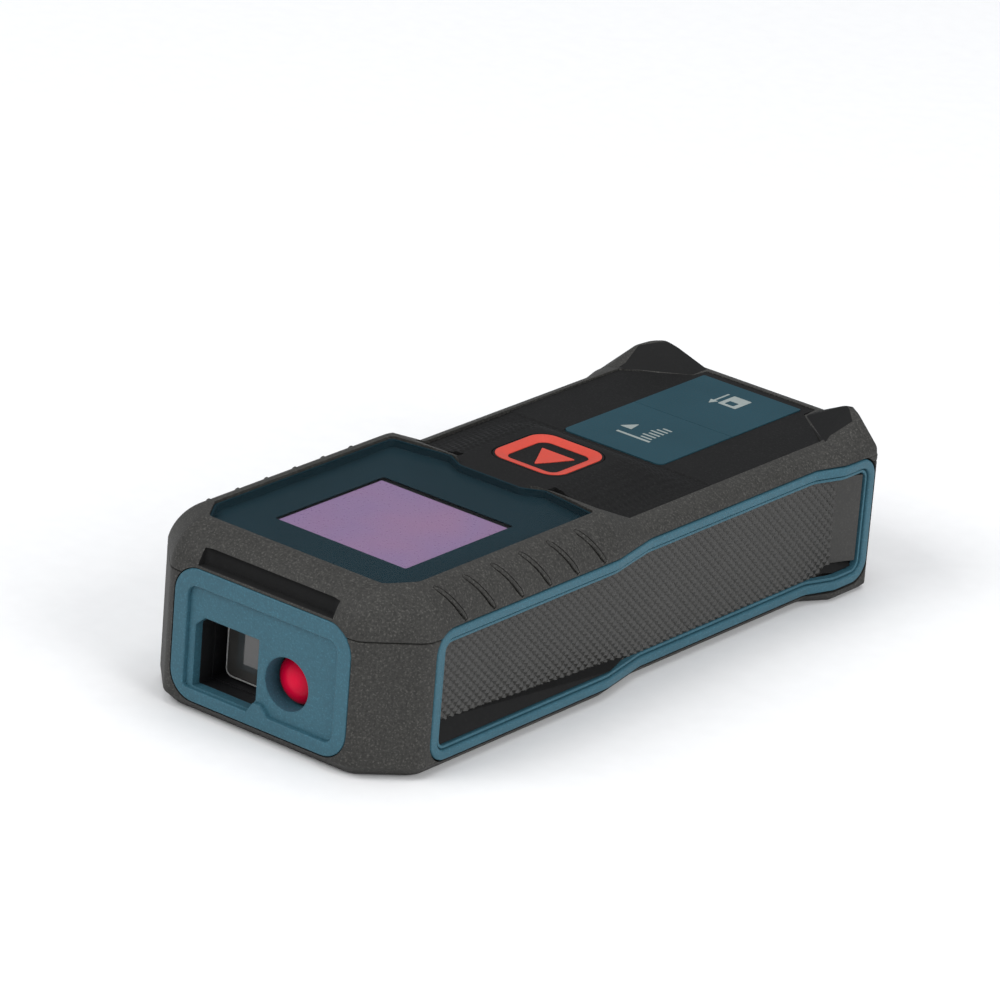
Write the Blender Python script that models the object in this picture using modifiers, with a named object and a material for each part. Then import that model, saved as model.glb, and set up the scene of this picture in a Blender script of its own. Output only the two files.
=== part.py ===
"""A pocket laser distance meter, as separate parts in metres.

The origin is at the middle of the underside, the nose that sends the beam faces -Y,
the tail faces +Y and the display faces +Z.
"""

import math

import bmesh
import bpy
from mathutils import Matrix, Vector

# Housing
LENGTH = 0.105
NOSE_Y = -LENGTH / 2
TAIL_Y = LENGTH / 2
HEAD_HALF = 0.0216
WAIST_HALF = 0.0200
RIM_TOP = 0.0242
WAIST_TOP = 0.0217
FOOT_CHAMFER = 0.0015
PARTING_LOW = 0.0181
PARTING_HIGH = 0.0184
FLOOR = 0.0022
GAP = 0.0003
BUTTED = 0.0001

# Cavity of the lower shell
CAVITY_HALF = 0.0160
CAVITY_NOSE = -0.0486
CAVITY_TAIL = 0.0504

# Nose panel
PANEL_HALF = 0.0144
PANEL_LOW = 0.0016
PANEL_TOP = 0.0195
PANEL_BACK = NOSE_Y + 0.0019
PANEL_RECESS = 0.0006
AXIS_Z = 0.0087
LASER_X = 0.0041
LASER_HOLE = 0.0035
RECEIVER_LEFT = -0.0111
RECEIVER_RIGHT = -0.0007
RECEIVER_LOW = 0.0035
RECEIVER_TOP = 0.0132

# Side trims and grip panels
TRIM_NOSE = -0.0445
TRIM_TAIL = 0.0462
TRIM_LOW = 0.0016
TRIM_TOP = 0.0191
TRIM_BAND = 0.0019
TRIM_BACK = 0.0187
TRIM_CORNER = 0.0030
GRIP_FRONT = 0.0184
GRIP_BACK = 0.0177
SIDE_WALL = 0.0174

# Display
GLASS_SEAT = 0.0227
GLASS_TOP = 0.0239
GLASS_THICK = 0.0010
LCD_TOP = 0.0225

# Keypad
KEYPAD_FLOOR = 0.0204
KEYPAD_FLAT = 0.0212
PLATEAU = 0.0236
KEYPAD_HALF = 0.0157
MEASURE_Y = 0.0027
FUNCTION_Y = 0.0233
REFERENCE_Y = 0.0420
LABEL_HALF = 0.0082
LABEL_NOSE = 0.0163
LABEL_SPLIT = 0.0316
LABEL_TAIL = 0.0469

# Circuit board
BOARD_LOW = 0.0159
BOARD_TOP = 0.0169

# Batteries, AAA size
CELL_RADIUS = 0.00525
CELL_BODY = 0.0437
CELL_NUB = 0.0008
CELL_X = 0.0059
CELL_Z = 0.0080
CONTACT_NOSE = -0.0004
CONTACT_TAIL = 0.0493
CONTACT_THICK = 0.0005

# Battery door
DOOR_HALF = 0.0113
DOOR_NOSE = 0.0010
DOOR_TAIL = 0.0492
DOOR_THICK = 0.0017
HINGE_Z = 0.0010
HINGE_RADIUS = 0.0009

# Screws
SCREW_X = 0.0136
SCREW_YS = (-0.0461, 0.0300)
BOSS_RADIUS = 0.0016
PILOT_RADIUS = 0.0009
SINK_RADIUS = 0.0015


def collection(name):
    made = bpy.data.collections.new(name)
    bpy.context.scene.collection.children.link(made)
    return made


def clear_scene():
    for obj in list(bpy.data.objects):
        bpy.data.objects.remove(obj, do_unlink=True)


clear_scene()
PARTS = collection("laser_distance_meter")
CUTTERS = collection("cutters")
CUTTERS.hide_render = True


def material(name, colour, roughness, metallic=0.0):
    """A Principled material, made once for each name."""
    if name in bpy.data.materials:
        return bpy.data.materials[name]
    made = bpy.data.materials.new(name)
    made.use_nodes = True
    shader = made.node_tree.nodes["Principled BSDF"]
    shader.inputs["Base Color"].default_value = (*colour, 1.0)
    shader.inputs["Roughness"].default_value = roughness
    shader.inputs["Metallic"].default_value = metallic
    made.diffuse_color = (*colour, 1.0)
    return made


def shell_plastic():
    return material("shell_plastic", (0.060, 0.058, 0.050), 0.62)


def teal_plastic():
    return material("teal_plastic", (0.060, 0.165, 0.235), 0.48)


def black_rubber():
    return material("black_rubber", (0.024, 0.024, 0.024), 0.70)


def spring_steel():
    return material("spring_steel", (0.62, 0.61, 0.58), 0.30, 1.0)


def register(obj, finish):
    """Puts an object in the parts collection, or with the cutters when it has no finish."""
    if finish is None:
        CUTTERS.objects.link(obj)
        obj.hide_render = True
        obj.display_type = "WIRE"
    else:
        PARTS.objects.link(obj)
        obj.data.materials.append(finish)
    return obj


def from_bmesh(name, bm, finish):
    bmesh.ops.recalc_face_normals(bm, faces=bm.faces)
    mesh = bpy.data.meshes.new(name)
    bm.to_mesh(mesh)
    bm.free()
    return register(bpy.data.objects.new(name, mesh), finish)


def box(name, low, high, finish=None):
    """A box between two corners."""
    low, high = Vector(low), Vector(high)
    bm = bmesh.new()
    bmesh.ops.create_cube(bm, size=1.0)
    bmesh.ops.scale(bm, vec=high - low, verts=bm.verts)
    bmesh.ops.translate(bm, vec=(low + high) / 2, verts=bm.verts)
    return from_bmesh(name, bm, finish)


AXES = {
    "X": Matrix(((0, 0, 1, 0), (1, 0, 0, 0), (0, 1, 0, 0), (0, 0, 0, 1))),
    "Y": Matrix(((1, 0, 0, 0), (0, 0, 1, 0), (0, 1, 0, 0), (0, 0, 0, 1))),
    "Z": Matrix.Identity(4),
}


def plate(name, outlines, low, high, axis="Z", finish=None):
    """Flat outlines, the first one outside and the others holes, extruded from low to high.

    An outline's points are (x, y) for axis Z, (y, z) for axis X and (x, z) for axis Y.
    """
    curve = bpy.data.curves.new(name, "CURVE")
    curve.dimensions = "2D"
    curve.fill_mode = "BOTH"
    curve.extrude = (high - low) / 2
    for outline in outlines:
        spline = curve.splines.new("POLY")
        spline.points.add(len(outline) - 1)
        for point, (u, v) in zip(spline.points, outline):
            point.co = (u, v, 0.0, 1.0)
        spline.use_cyclic_u = True
    flat = bpy.data.objects.new(name, curve)
    bpy.context.scene.collection.objects.link(flat)
    graph = bpy.context.evaluated_depsgraph_get()
    mesh = bpy.data.meshes.new_from_object(flat.evaluated_get(graph))
    bpy.data.objects.remove(flat, do_unlink=True)
    bm = bmesh.new()
    bm.from_mesh(mesh)
    bmesh.ops.remove_doubles(bm, verts=bm.verts, dist=1e-6)
    bmesh.ops.translate(bm, vec=(0, 0, (low + high) / 2), verts=bm.verts)
    bmesh.ops.transform(bm, matrix=AXES[axis], verts=bm.verts)
    bpy.data.meshes.remove(mesh)
    return from_bmesh(name, bm, finish)


def cylinder(name, centre, radius, low, high, axis="Z", sides=32, finish=None):
    """A cylinder along an axis: centre is its (x, y), (y, z) or (x, z), as in plate."""
    bm = bmesh.new()
    bmesh.ops.create_cone(
        bm, cap_ends=True, segments=sides, radius1=radius, radius2=radius, depth=high - low
    )
    bmesh.ops.translate(bm, vec=(*centre, (low + high) / 2), verts=bm.verts)
    bmesh.ops.transform(bm, matrix=AXES[axis], verts=bm.verts)
    return smooth(from_bmesh(name, bm, finish))


def turned(name, profile, place, finish, steps=32, along_y=False):
    """A profile of (radius, height), top to bottom on its outer side, turned round Z.

    With along_y, the profile's top points to -Y.
    """
    bm = bmesh.new()
    points = [bm.verts.new((radius, 0.0, height)) for radius, height in profile]
    for first, second in zip(points, points[1:]):
        bm.edges.new((first, second))
    mesh = bpy.data.meshes.new(name)
    bm.to_mesh(mesh)
    bm.free()
    obj = register(bpy.data.objects.new(name, mesh), finish)
    obj.location = place
    if along_y:
        obj.rotation_euler = (math.pi / 2, 0.0, 0.0)
    screw = obj.modifiers.new("turn", "SCREW")
    screw.axis = "Z"
    screw.steps = steps
    screw.render_steps = steps
    screw.use_merge_vertices = True
    screw.merge_threshold = 1e-5
    screw.use_smooth_shade = False
    return obj


def hull(name, points, finish=None):
    """The convex body of a few points, for a wedge or a block with slanted sides."""
    bm = bmesh.new()
    for point in points:
        bm.verts.new(point)
    made = bmesh.ops.convex_hull(bm, input=bm.verts)
    spare = {item for item in made["geom_interior"] if isinstance(item, bmesh.types.BMVert)}
    bmesh.ops.delete(bm, geom=list(spare), context="VERTS")
    return from_bmesh(name, bm, finish)


def loft(name, rings, roofed, finish):
    """A skin through rings of equal length, closed below by a face.

    The top is closed by a face or, when roofed, by strips from each point to its mirror image.
    """
    bm = bmesh.new()
    rows = [[bm.verts.new(point) for point in ring] for ring in rings]
    count = len(rows[0])
    for lower, upper in zip(rows, rows[1:]):
        for i in range(count):
            j = (i + 1) % count
            bm.faces.new((lower[i], lower[j], upper[j], upper[i]))
    bm.faces.new(rows[0])
    top = rows[-1]
    if roofed:
        for i in range(count // 2 - 1):
            bm.faces.new((top[i], top[i + 1], top[count - 2 - i], top[count - 1 - i]))
    else:
        bm.faces.new(top)
    bmesh.ops.triangulate(bm, faces=bm.faces)
    return from_bmesh(name, bm, finish)


def boolean(target, other, operation):
    modifier = target.modifiers.new(f"{operation.lower()}_{other.name}", "BOOLEAN")
    modifier.operation = operation
    modifier.object = other
    modifier.solver = "EXACT"


def cut(target, *others):
    for other in others:
        boolean(target, other, "DIFFERENCE")


def join(target, *others):
    for other in others:
        boolean(target, other, "UNION")


def smooth(obj):
    obj.data.shade_smooth()
    obj.data.set_sharp_from_angle(angle=math.radians(35))
    return obj


def rounded(corners, segments=3):
    """A closed outline from corners (x, y, radius), each rounded by an arc of segments + 1 points."""
    points = []
    count = len(corners)
    for i, (x, y, radius) in enumerate(corners):
        here = Vector((x, y))
        before = (Vector(corners[i - 1][:2]) - here).normalized()
        after = (Vector(corners[(i + 1) % count][:2]) - here).normalized()
        half = before.angle(after) / 2
        middle = here + (before + after).normalized() * (radius / math.sin(half))
        start = here + before * (radius / math.tan(half)) - middle
        end = here + after * (radius / math.tan(half)) - middle
        sweep = start.angle_signed(end)
        for k in range(segments + 1):
            arm = start.copy()
            arm.rotate(Matrix.Rotation(-sweep * k / segments, 2))
            points.append(tuple(middle + arm))
    return points


def mirrored(corners):
    """A closed list of corners from its right half: the left half comes back in reverse."""
    return corners + [(-corner[0], *corner[1:]) for corner in reversed(corners)]


def rectangle(u0, v0, u1, v1, radius, segments=3):
    corners = [(u0, v0, radius), (u1, v0, radius), (u1, v1, radius), (u0, v1, radius)]
    return rounded(corners, segments)


def circle(u, v, radius, sides=32):
    turns = [2 * math.pi * k / sides for k in range(sides)]
    return [(u + radius * math.cos(turn), v + radius * math.sin(turn)) for turn in turns]


def inset_corners(corners, distance):
    """The same corners, moved inwards by a distance, with their radii."""
    moved = []
    count = len(corners)
    for i, (x, y, radius) in enumerate(corners):
        here = Vector((x, y))
        before = (here - Vector(corners[i - 1][:2])).normalized()
        after = (Vector(corners[(i + 1) % count][:2]) - here).normalized()
        normal = (before + after).normalized().orthogonal()
        shift = distance / math.cos(before.angle(after) / 2)
        moved.append((*(here + normal * shift), radius))
    return moved


def housing_corners():
    """Plan of the housing: head, waist and flared tail."""
    return mirrored(
        [
            (0.0152, NOSE_Y, 0.0030),
            (HEAD_HALF, -0.0461, 0.0030),
            (HEAD_HALF, -0.0090, 0.0040),
            (WAIST_HALF, -0.0004, 0.0040),
            (WAIST_HALF, 0.0360, 0.0016),
            (HEAD_HALF, 0.0381, 0.0016),
            (HEAD_HALF, 0.0463, 0.0008),
            (0.0154, TAIL_Y, 0.0008),
        ]
    )


def rim_corners():
    """Plan of the rim round the display and the keypad, one corner for each of the housing's."""
    return mirrored(
        [
            (0.0146, -0.0476, 0.0020),
            (0.0173, -0.0434, 0.0020),
            (0.0173, -0.0070, 0.0010),
            (0.0162, 0.0005, 0.0010),
            (0.0162, 0.0360, 0.0010),
            (0.0164, 0.0381, 0.0010),
            (0.0164, 0.0440, 0.0010),
            (0.0110, 0.0492, 0.0010),
        ]
    )


def rim_heights():
    head, waist, tail = RIM_TOP, WAIST_TOP, WAIST_TOP - 0.0002
    half = [head, head, head, waist, waist, waist, tail, tail]
    return half + half[::-1]


def tail_bumper(side):
    """The wedge that stands up at one tail corner and guards the keypad."""
    base, top = 0.0190, 0.0213
    points = [
        (0.0199, 0.0362, base),
        (HEAD_HALF, 0.0383, base),
        (HEAD_HALF, 0.0462, base),
        (0.0155, 0.0523, base),
        (0.0096, 0.0523, base),
        (0.0207, 0.0465, 0.0200),
        (0.0160, 0.0402, top),
        (0.0092, 0.0462, top),
        (0.0094, 0.0496, top),
        (0.0158, 0.0478, 0.0240),
        (0.0166, 0.0474, 0.0237),
    ]
    name = "bumper_right" if side > 0 else "bumper_left"
    return hull(name, [(side * x, y, z) for x, y, z in points])


def side_prism(name, margin, low_x, high_x, finish=None):
    """The rounded outline of a side trim, grown by a margin, as a bar along X."""
    outline = rectangle(
        TRIM_NOSE - margin,
        TRIM_LOW - margin,
        TRIM_TAIL + margin,
        TRIM_TOP + margin,
        TRIM_CORNER + margin,
        5,
    )
    return plate(name, [outline], low_x, high_x, "X", finish)


def panel_outline(margin):
    return rectangle(
        -PANEL_HALF - margin,
        PANEL_LOW - margin,
        PANEL_HALF + margin,
        PANEL_TOP + margin,
        0.0038 + margin,
        6,
    )


def panel_pocket(name):
    """A cutter for the nose panel's seat."""
    return plate(name, [panel_outline(GAP)], NOSE_Y - 0.01, PANEL_BACK + GAP, "Y")


def glass_corners():
    return mirrored(
        [
            (0.0142, -0.0470, 0.0015),
            (0.0167, -0.0431, 0.0015),
            (0.0167, -0.0087, 0.0008),
            (0.0078, -0.0073, 0.0006),
            (0.0050, -0.0089, 0.0020),
        ]
    )


def keypad_corners():
    return mirrored(
        [
            (0.0046, -0.0083, 0.0020),
            (0.0073, -0.0068, 0.0006),
            (0.0074, -0.0050, 0.0004),
            (0.0143, -0.0058, 0.0006),
            (KEYPAD_HALF, -0.0035, 0.0006),
            (KEYPAD_HALF, 0.0400, 0.0004),
            (0.0090, 0.0459, 0.0004),
            (0.0088, 0.0489, 0.0004),
        ]
    )


def screw_places():
    return [(side * SCREW_X, y) for y in SCREW_YS for side in (-1, 1)]


def upper_shell():
    outer = rounded(housing_corners())
    rim = rounded(rim_corners())
    heights = [height for height in rim_heights() for _ in range(4)]
    rings = [[(x, y, PARTING_HIGH) for x, y in outer]]
    shoulder = TRIM_TOP
    steps = 4
    for k in range(steps + 1):
        turn = math.pi / 2 * k / steps
        inward, up = 1 - math.cos(turn), math.sin(turn)
        ring = []
        for (x0, y0), (x1, y1), top in zip(outer, rim, heights):
            z = shoulder + (top - shoulder) * up
            ring.append((x0 + (x1 - x0) * inward, y0 + (y1 - y0) * inward, z))
        rings.append(ring)
    shell = loft("upper_shell", rings, True, shell_plastic())
    join(shell, tail_bumper(1), tail_bumper(-1))
    glass_pocket = [rounded(inset_corners(glass_corners(), -GAP))]
    cut(shell, plate("glass_pocket", glass_pocket, GLASS_SEAT, 0.030))
    keypad_pocket = [rounded(inset_corners(keypad_corners(), -GAP))]
    cut(shell, plate("keypad_pocket", keypad_pocket, KEYPAD_FLOOR, 0.030))
    cut(shell, panel_pocket("panel_pocket_upper"))
    for side, label in ((-1, "left"), (1, "right")):
        low_x, high_x = sorted((side * SIDE_WALL, side * 0.030))
        cut(shell, side_prism(f"trim_pocket_upper_{label}", GAP, low_x, high_x))
    head_room = rectangle(-0.0148, -0.0446, 0.0148, -0.0105, 0.0015)
    cut(shell, plate("head_room", [head_room], 0.010, 0.030))
    cut(shell, front_pocket())
    for x, y in screw_places():
        place = f"{x:.4f}_{y:.4f}"
        low = BOARD_LOW - BUTTED
        join(shell, cylinder(f"post_{place}", (x, y), BOSS_RADIUS, low, 0.0192, sides=20))
        cut(shell, cylinder(f"pilot_{place}", (x, y), PILOT_RADIUS, 0.010, 0.0182, sides=16))
    for name, y in (("measure", MEASURE_Y), ("function", FUNCTION_Y), ("reference", REFERENCE_Y)):
        cut(shell, cylinder(f"stem_hole_{name}", (0, y), 0.0021, 0.015, 0.030, sides=24))
    return shell


def front_pocket():
    """The shallow facet in the bevel above the nose panel."""
    low, high = 0.0199, 0.0219
    front, back = NOSE_Y - 0.002, NOSE_Y + 0.0017
    points = []
    for x, depth in ((0.0110, 0.0), (0.0096, 0.0006)):
        for side in (-1, 1):
            points.append((side * x, front, low))
            points.append((side * x, back + depth, high))
            points.append((side * x, back - 0.0006 + depth, low))
            points.append((side * x, front, high + 0.0012))
    return hull("front_pocket", points)


def cavity_corners():
    return mirrored(
        [
            (0.0150, CAVITY_NOSE, 0.0004),
            (CAVITY_HALF, CAVITY_NOSE + 0.0010, 0.0004),
            (CAVITY_HALF, CAVITY_TAIL - 0.0015, 0.0004),
            (0.0145, CAVITY_TAIL, 0.0004),
        ]
    )


def lower_shell():
    corners = housing_corners()
    foot = rounded(inset_corners(corners, FOOT_CHAMFER))
    outline = rounded(corners)
    rings = [[(x, y, 0.0) for x, y in foot]]
    for height in (FOOT_CHAMFER, PARTING_LOW):
        rings.append([(x, y, height) for x, y in outline])
    shell = loft("lower_shell", rings, False, shell_plastic())
    cavity = cavity_corners()
    cut(shell, plate("cavity", [rounded(cavity, 2)], FLOOR, 0.030))
    for side, label in ((-1, "left"), (1, "right")):
        low_x, high_x = sorted((side * SIDE_WALL, side * 0.030))
        cut(shell, side_prism(f"trim_pocket_{label}", GAP, low_x, high_x))
    cut(shell, panel_pocket("panel_pocket"))
    cut(shell, box("receiver_port", (-0.0115, -0.055, 0.0032), (-0.0004, -0.040, 0.0140)))
    cut(shell, cylinder("laser_port", (LASER_X, AXIS_Z), 0.0038, -0.055, -0.040, "Y"))
    for x, y in screw_places():
        place = f"{x:.4f}_{y:.4f}"
        join(shell, cylinder(f"boss_{place}", (x, y), BOSS_RADIUS, 0.001, 0.0155, sides=20))
        cut(shell, cylinder(f"way_{place}", (x, y), PILOT_RADIUS, -0.01, 0.030, sides=16))
        cut(shell, cylinder(f"sink_{place}", (x, y), SINK_RADIUS, -0.01, 0.0018, sides=20))
    wall = box("battery_wall", (-0.0120, -0.0034, 0.0010), (0.0120, -0.0016, 0.0146))
    join(shell, wall)
    opening = rectangle(-DOOR_HALF - GAP, -0.0003, DOOR_HALF + GAP, DOOR_TAIL + GAP, 0.0003, 1)
    cut(shell, plate("door_opening", [opening], -0.01, FLOOR + 0.001))
    cut(shell, cylinder("trunnion_holes", (DOOR_NOSE, HINGE_Z), 0.0006, -0.0127, 0.0127, "X", 16))
    return shell


def nose_panel():
    window = [
        (RECEIVER_LEFT, RECEIVER_LOW),
        (RECEIVER_RIGHT - 0.0010, RECEIVER_LOW),
        (RECEIVER_RIGHT, RECEIVER_LOW + 0.0016),
        (RECEIVER_RIGHT, RECEIVER_TOP),
        (RECEIVER_LEFT + 0.0014, RECEIVER_TOP),
        (RECEIVER_LEFT, RECEIVER_TOP - 0.0013),
    ]
    outlines = [panel_outline(0.0), window, circle(LASER_X, AXIS_Z, LASER_HOLE)]
    panel = plate("nose_panel", outlines, NOSE_Y, PANEL_BACK, "Y", teal_plastic())
    recess = rectangle(-0.0122, 0.0036, 0.0122, 0.0171, 0.0014, 3)
    cut(panel, plate("panel_recess", [recess], NOSE_Y - 0.01, NOSE_Y + PANEL_RECESS, "Y"))
    return panel


def trim_plan(side):
    """The trim's section seen from above: the housing's side outline, with a flat back."""
    outline = rounded(housing_corners())
    half = outline[: len(outline) // 2]
    run = [(x, y) for x, y in half if x > 0.0199 and -0.0460 < y < 0.0464]
    points = [(TRIM_BACK, -0.0456), (HEAD_HALF, -0.0456)]
    points += [point for point in run if point[1] > -0.0450]
    points += [(TRIM_BACK, run[-1][1])]
    return [(side * x, y) for x, y in points]


def side_trim(side, label):
    trim = plate(f"side_trim_{label}", [trim_plan(side)], 0.0010, 0.0200, "Z", teal_plastic())
    low_x, high_x = sorted((side * 0.010, side * 0.030))
    boolean(trim, side_prism(f"trim_outline_{label}", 0.0, low_x, high_x), "INTERSECT")
    cut(trim, side_prism(f"trim_window_{label}", -TRIM_BAND, low_x, high_x))
    return trim


def grip_panel(side, label):
    """A thin plate behind the trim, with a slanted ledge below and a slanted end at the tail."""
    low_x, high_x = sorted((side * GRIP_BACK, side * GRIP_FRONT))
    name = f"grip_panel_{label}"
    inset = 0.0004
    outline = rectangle(
        TRIM_NOSE + inset, TRIM_LOW + inset, TRIM_TAIL - inset, TRIM_TOP - inset, 0.0022
    )
    grip = plate(name, [outline], low_x, high_x, "X", shell_plastic())
    nose, waist = TRIM_NOSE + TRIM_BAND + GAP, -0.0025
    low = TRIM_LOW + TRIM_BAND + GAP
    root = GRIP_FRONT - 0.0003
    ledge = [
        (root, nose, low),
        (root, nose, 0.0051),
        (0.0205, nose, low),
        (0.0205, -0.0100, low),
        (root, waist, low),
        (root, waist, 0.0042),
        (0.0190, waist, low),
    ]
    tail, top = TRIM_TAIL - TRIM_BAND - GAP, TRIM_TOP - TRIM_BAND - 0.0010
    end = []
    for z in (low + 0.0010, top):
        end.append((root, 0.0416, z))
        end.append((root, tail, z))
        end.append((0.0205, tail, z))
    join(grip, hull(f"ledge_{label}", [(side * x, y, z) for x, y, z in ledge]))
    join(grip, hull(f"end_{label}", [(side * x, y, z) for x, y, z in end]))
    return grip


def display_window():
    glass = material("display_glass", (0.012, 0.035, 0.048), 0.06)
    outline = rounded(glass_corners())
    return plate("display_window", [outline], GLASS_TOP - GLASS_THICK, GLASS_TOP, finish=glass)


def lcd_stack():
    """The display, its light plate, the holder under them and the contact strip to the board."""
    lcd = material("lcd_cell", (0.28, 0.18, 0.34), 0.25)
    light = material("light_plate", (0.85, 0.84, 0.88), 0.40)
    white = material("white_plastic", (0.75, 0.75, 0.73), 0.50)
    zebra = material("zebra_rubber", (0.55, 0.50, 0.48), 0.60)
    box("lcd_module", (-0.0140, -0.0430, 0.0207), (0.0140, -0.0125, LCD_TOP), lcd)
    box("lcd_backlight", (-0.0140, -0.0428, 0.0190), (0.0140, -0.0162, 0.0204), light)
    frame = [
        rectangle(-0.0138, -0.0428, 0.0138, -0.0162, 0.0010),
        rectangle(-0.0100, -0.0400, 0.0100, -0.0190, 0.0010),
    ]
    plate("lcd_holder", frame, BOARD_TOP + GAP, 0.0187, finish=white)
    box("zebra_strip", (-0.0125, -0.0150, BOARD_TOP + GAP), (0.0125, -0.0132, 0.0204), zebra)


def bump(distance, start, reach):
    """1 up to start, then falling smoothly to 0 over reach."""
    t = min(max((distance - start) / reach, 0.0), 1.0)
    return 1 - t * t * (3 - 2 * t)


def keypad_height(x, y):
    """Top of the keypad: a plateau round the measuring button, sloping down to the flat."""
    lengthwise = bump(y, 0.0085, 0.0085)
    spread = bump(abs(x), 0.0060, 0.0098)
    rising = bump(y, -0.0070, 0.0075)
    return KEYPAD_FLAT + (PLATEAU - KEYPAD_FLAT) * max(lengthwise * spread, rising)


def keypad_mat():
    """The silicone keypad, with an opening for each button."""
    xs = [KEYPAD_HALF * 1.04 * k / 6 for k in range(-6, 7)]
    ys = [-0.0095, -0.0070, -0.0045, -0.0020, 0.0005, 0.0085, 0.0107, 0.0128, 0.0150, 0.0170, 0.0495]
    bm = bmesh.new()
    rows = []
    for y in ys:
        rows.append([bm.verts.new((x, y, keypad_height(x, y))) for x in xs])
    under = []
    for y in ys:
        under.append([bm.verts.new((x, y, KEYPAD_FLOOR + GAP)) for x in xs])
    for grid in (rows, under):
        for lower, upper in zip(grid, grid[1:]):
            for i in range(len(xs) - 1):
                bm.faces.new((lower[i], lower[i + 1], upper[i + 1], upper[i]))
    border = [(j, 0) for j in range(len(ys))]
    border += [(len(ys) - 1, i) for i in range(1, len(xs))]
    border += [(j, len(xs) - 1) for j in range(len(ys) - 2, -1, -1)]
    border += [(0, i) for i in range(len(xs) - 2, 0, -1)]
    for (j, i), (m, n) in zip(border, border[1:] + border[:1]):
        bm.faces.new((rows[j][i], rows[m][n], under[m][n], under[j][i]))
    bmesh.ops.triangulate(bm, faces=bm.faces)
    mat = from_bmesh("keypad_mat", bm, black_rubber())
    outline = plate("keypad_outline", [rounded(keypad_corners())], 0.015, 0.030)
    boolean(mat, outline, "INTERSECT")
    cut(mat, plate("measure_opening", [measure_outline(0.0002 + GAP)], 0.015, 0.030))
    label = rectangle(
        -LABEL_HALF - GAP, LABEL_NOSE - GAP, LABEL_HALF + GAP, LABEL_TAIL + GAP, 0.0006 + GAP
    )
    cut(mat, plate("label_opening", [label], 0.015, 0.030))
    return mat


def measure_outline(margin):
    """The rounded square of the measuring button's ring."""
    half = 0.0060 + margin
    return rectangle(-half, MEASURE_Y - half, half, MEASURE_Y + half, 0.0024 + margin, 6)


def arrow_outline(margin):
    """A triangle that points to the nose."""
    corners = [
        (0.0, -0.0013 - 2.2 * margin, 0.0002),
        (0.0026 + 1.6 * margin, 0.0040 + margin, 0.0002),
        (-0.0026 - 1.6 * margin, 0.0040 + margin, 0.0002),
    ]
    return rounded(corners, 2)


def measure_button():
    orange = material("orange_plastic", (0.80, 0.095, 0.045), 0.45)
    ring_seat, ring_top = PLATEAU - 0.0006, PLATEAU + 0.0003
    cap_top = PLATEAU + 0.0001
    button = plate("measure_button", [measure_outline(0.0002)], 0.0212, cap_top, finish=black_rubber())
    stem = cylinder("measure_stem", (0, MEASURE_Y), 0.0015, 0.0187, 0.0215, sides=20)
    join(button, stem)
    seat = [measure_outline(BUTTED), measure_outline(-0.0015 - BUTTED)]
    cut(button, plate("ring_seat", seat, ring_seat - BUTTED, 0.030))
    cut(button, plate("arrow_seat", [arrow_outline(BUTTED)], ring_seat - BUTTED, 0.030))
    ring = [measure_outline(0.0), measure_outline(-0.0015)]
    plate("measure_ring", ring, ring_seat, ring_top, finish=orange)
    plate("measure_arrow", [arrow_outline(0.0)], ring_seat, ring_top - 0.0001, finish=orange)


def label_button(name, y, nose, tail):
    """One half of the teal label, with the stem that presses its switch."""
    outline = rectangle(-LABEL_HALF, nose, LABEL_HALF, tail, 0.0006)
    button = plate(name, [outline], 0.0209, KEYPAD_FLAT + 0.0002, finish=teal_plastic())
    join(button, cylinder(f"{name}_stem", (0, y), 0.0015, 0.0187, 0.0211, sides=20))
    return button


def main_board():
    green = material("circuit_board", (0.020, 0.120, 0.055), 0.45)
    outline = rectangle(-0.0145, -0.0455, 0.0145, 0.0440, 0.0010)
    board = plate("main_board", [outline], BOARD_LOW, BOARD_TOP, finish=green)
    notch = BOSS_RADIUS + 0.0004
    for x, y in screw_places():
        name = f"board_notch_{x:.4f}_{y:.4f}"
        cut(board, cylinder(name, (x, y), notch, 0.010, 0.020, sides=20))
    black = material("chip_black", (0.020, 0.020, 0.022), 0.50)
    steel = spring_steel()
    box("main_chip", (-0.0040, 0.0090, BOARD_TOP + BUTTED), (0.0040, 0.0170, 0.0180), black)
    for name, y in (("measure", MEASURE_Y), ("function", FUNCTION_Y), ("reference", REFERENCE_Y)):
        low = BOARD_TOP + BUTTED
        profile = [(0.0, 0.0008), (0.0012, 0.0007), (0.0022, 0.0004), (0.0026, 0.0), (0.0, 0.0)]
        turned(f"{name}_switch", profile, (0, y, low), steel, 24)
    height, hollow, wide, throat = 0.0032, 0.0026, 0.0042, 0.0008
    buzzer = [
        (0.0, height),
        (wide, height),
        (wide, height - hollow),
        (throat, height - hollow),
        (throat, 0.0),
        (0.0, 0.0),
    ]
    turned("buzzer", buzzer, (0.0040, -0.0120, BOARD_LOW - height - BUTTED), black, 28)


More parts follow.
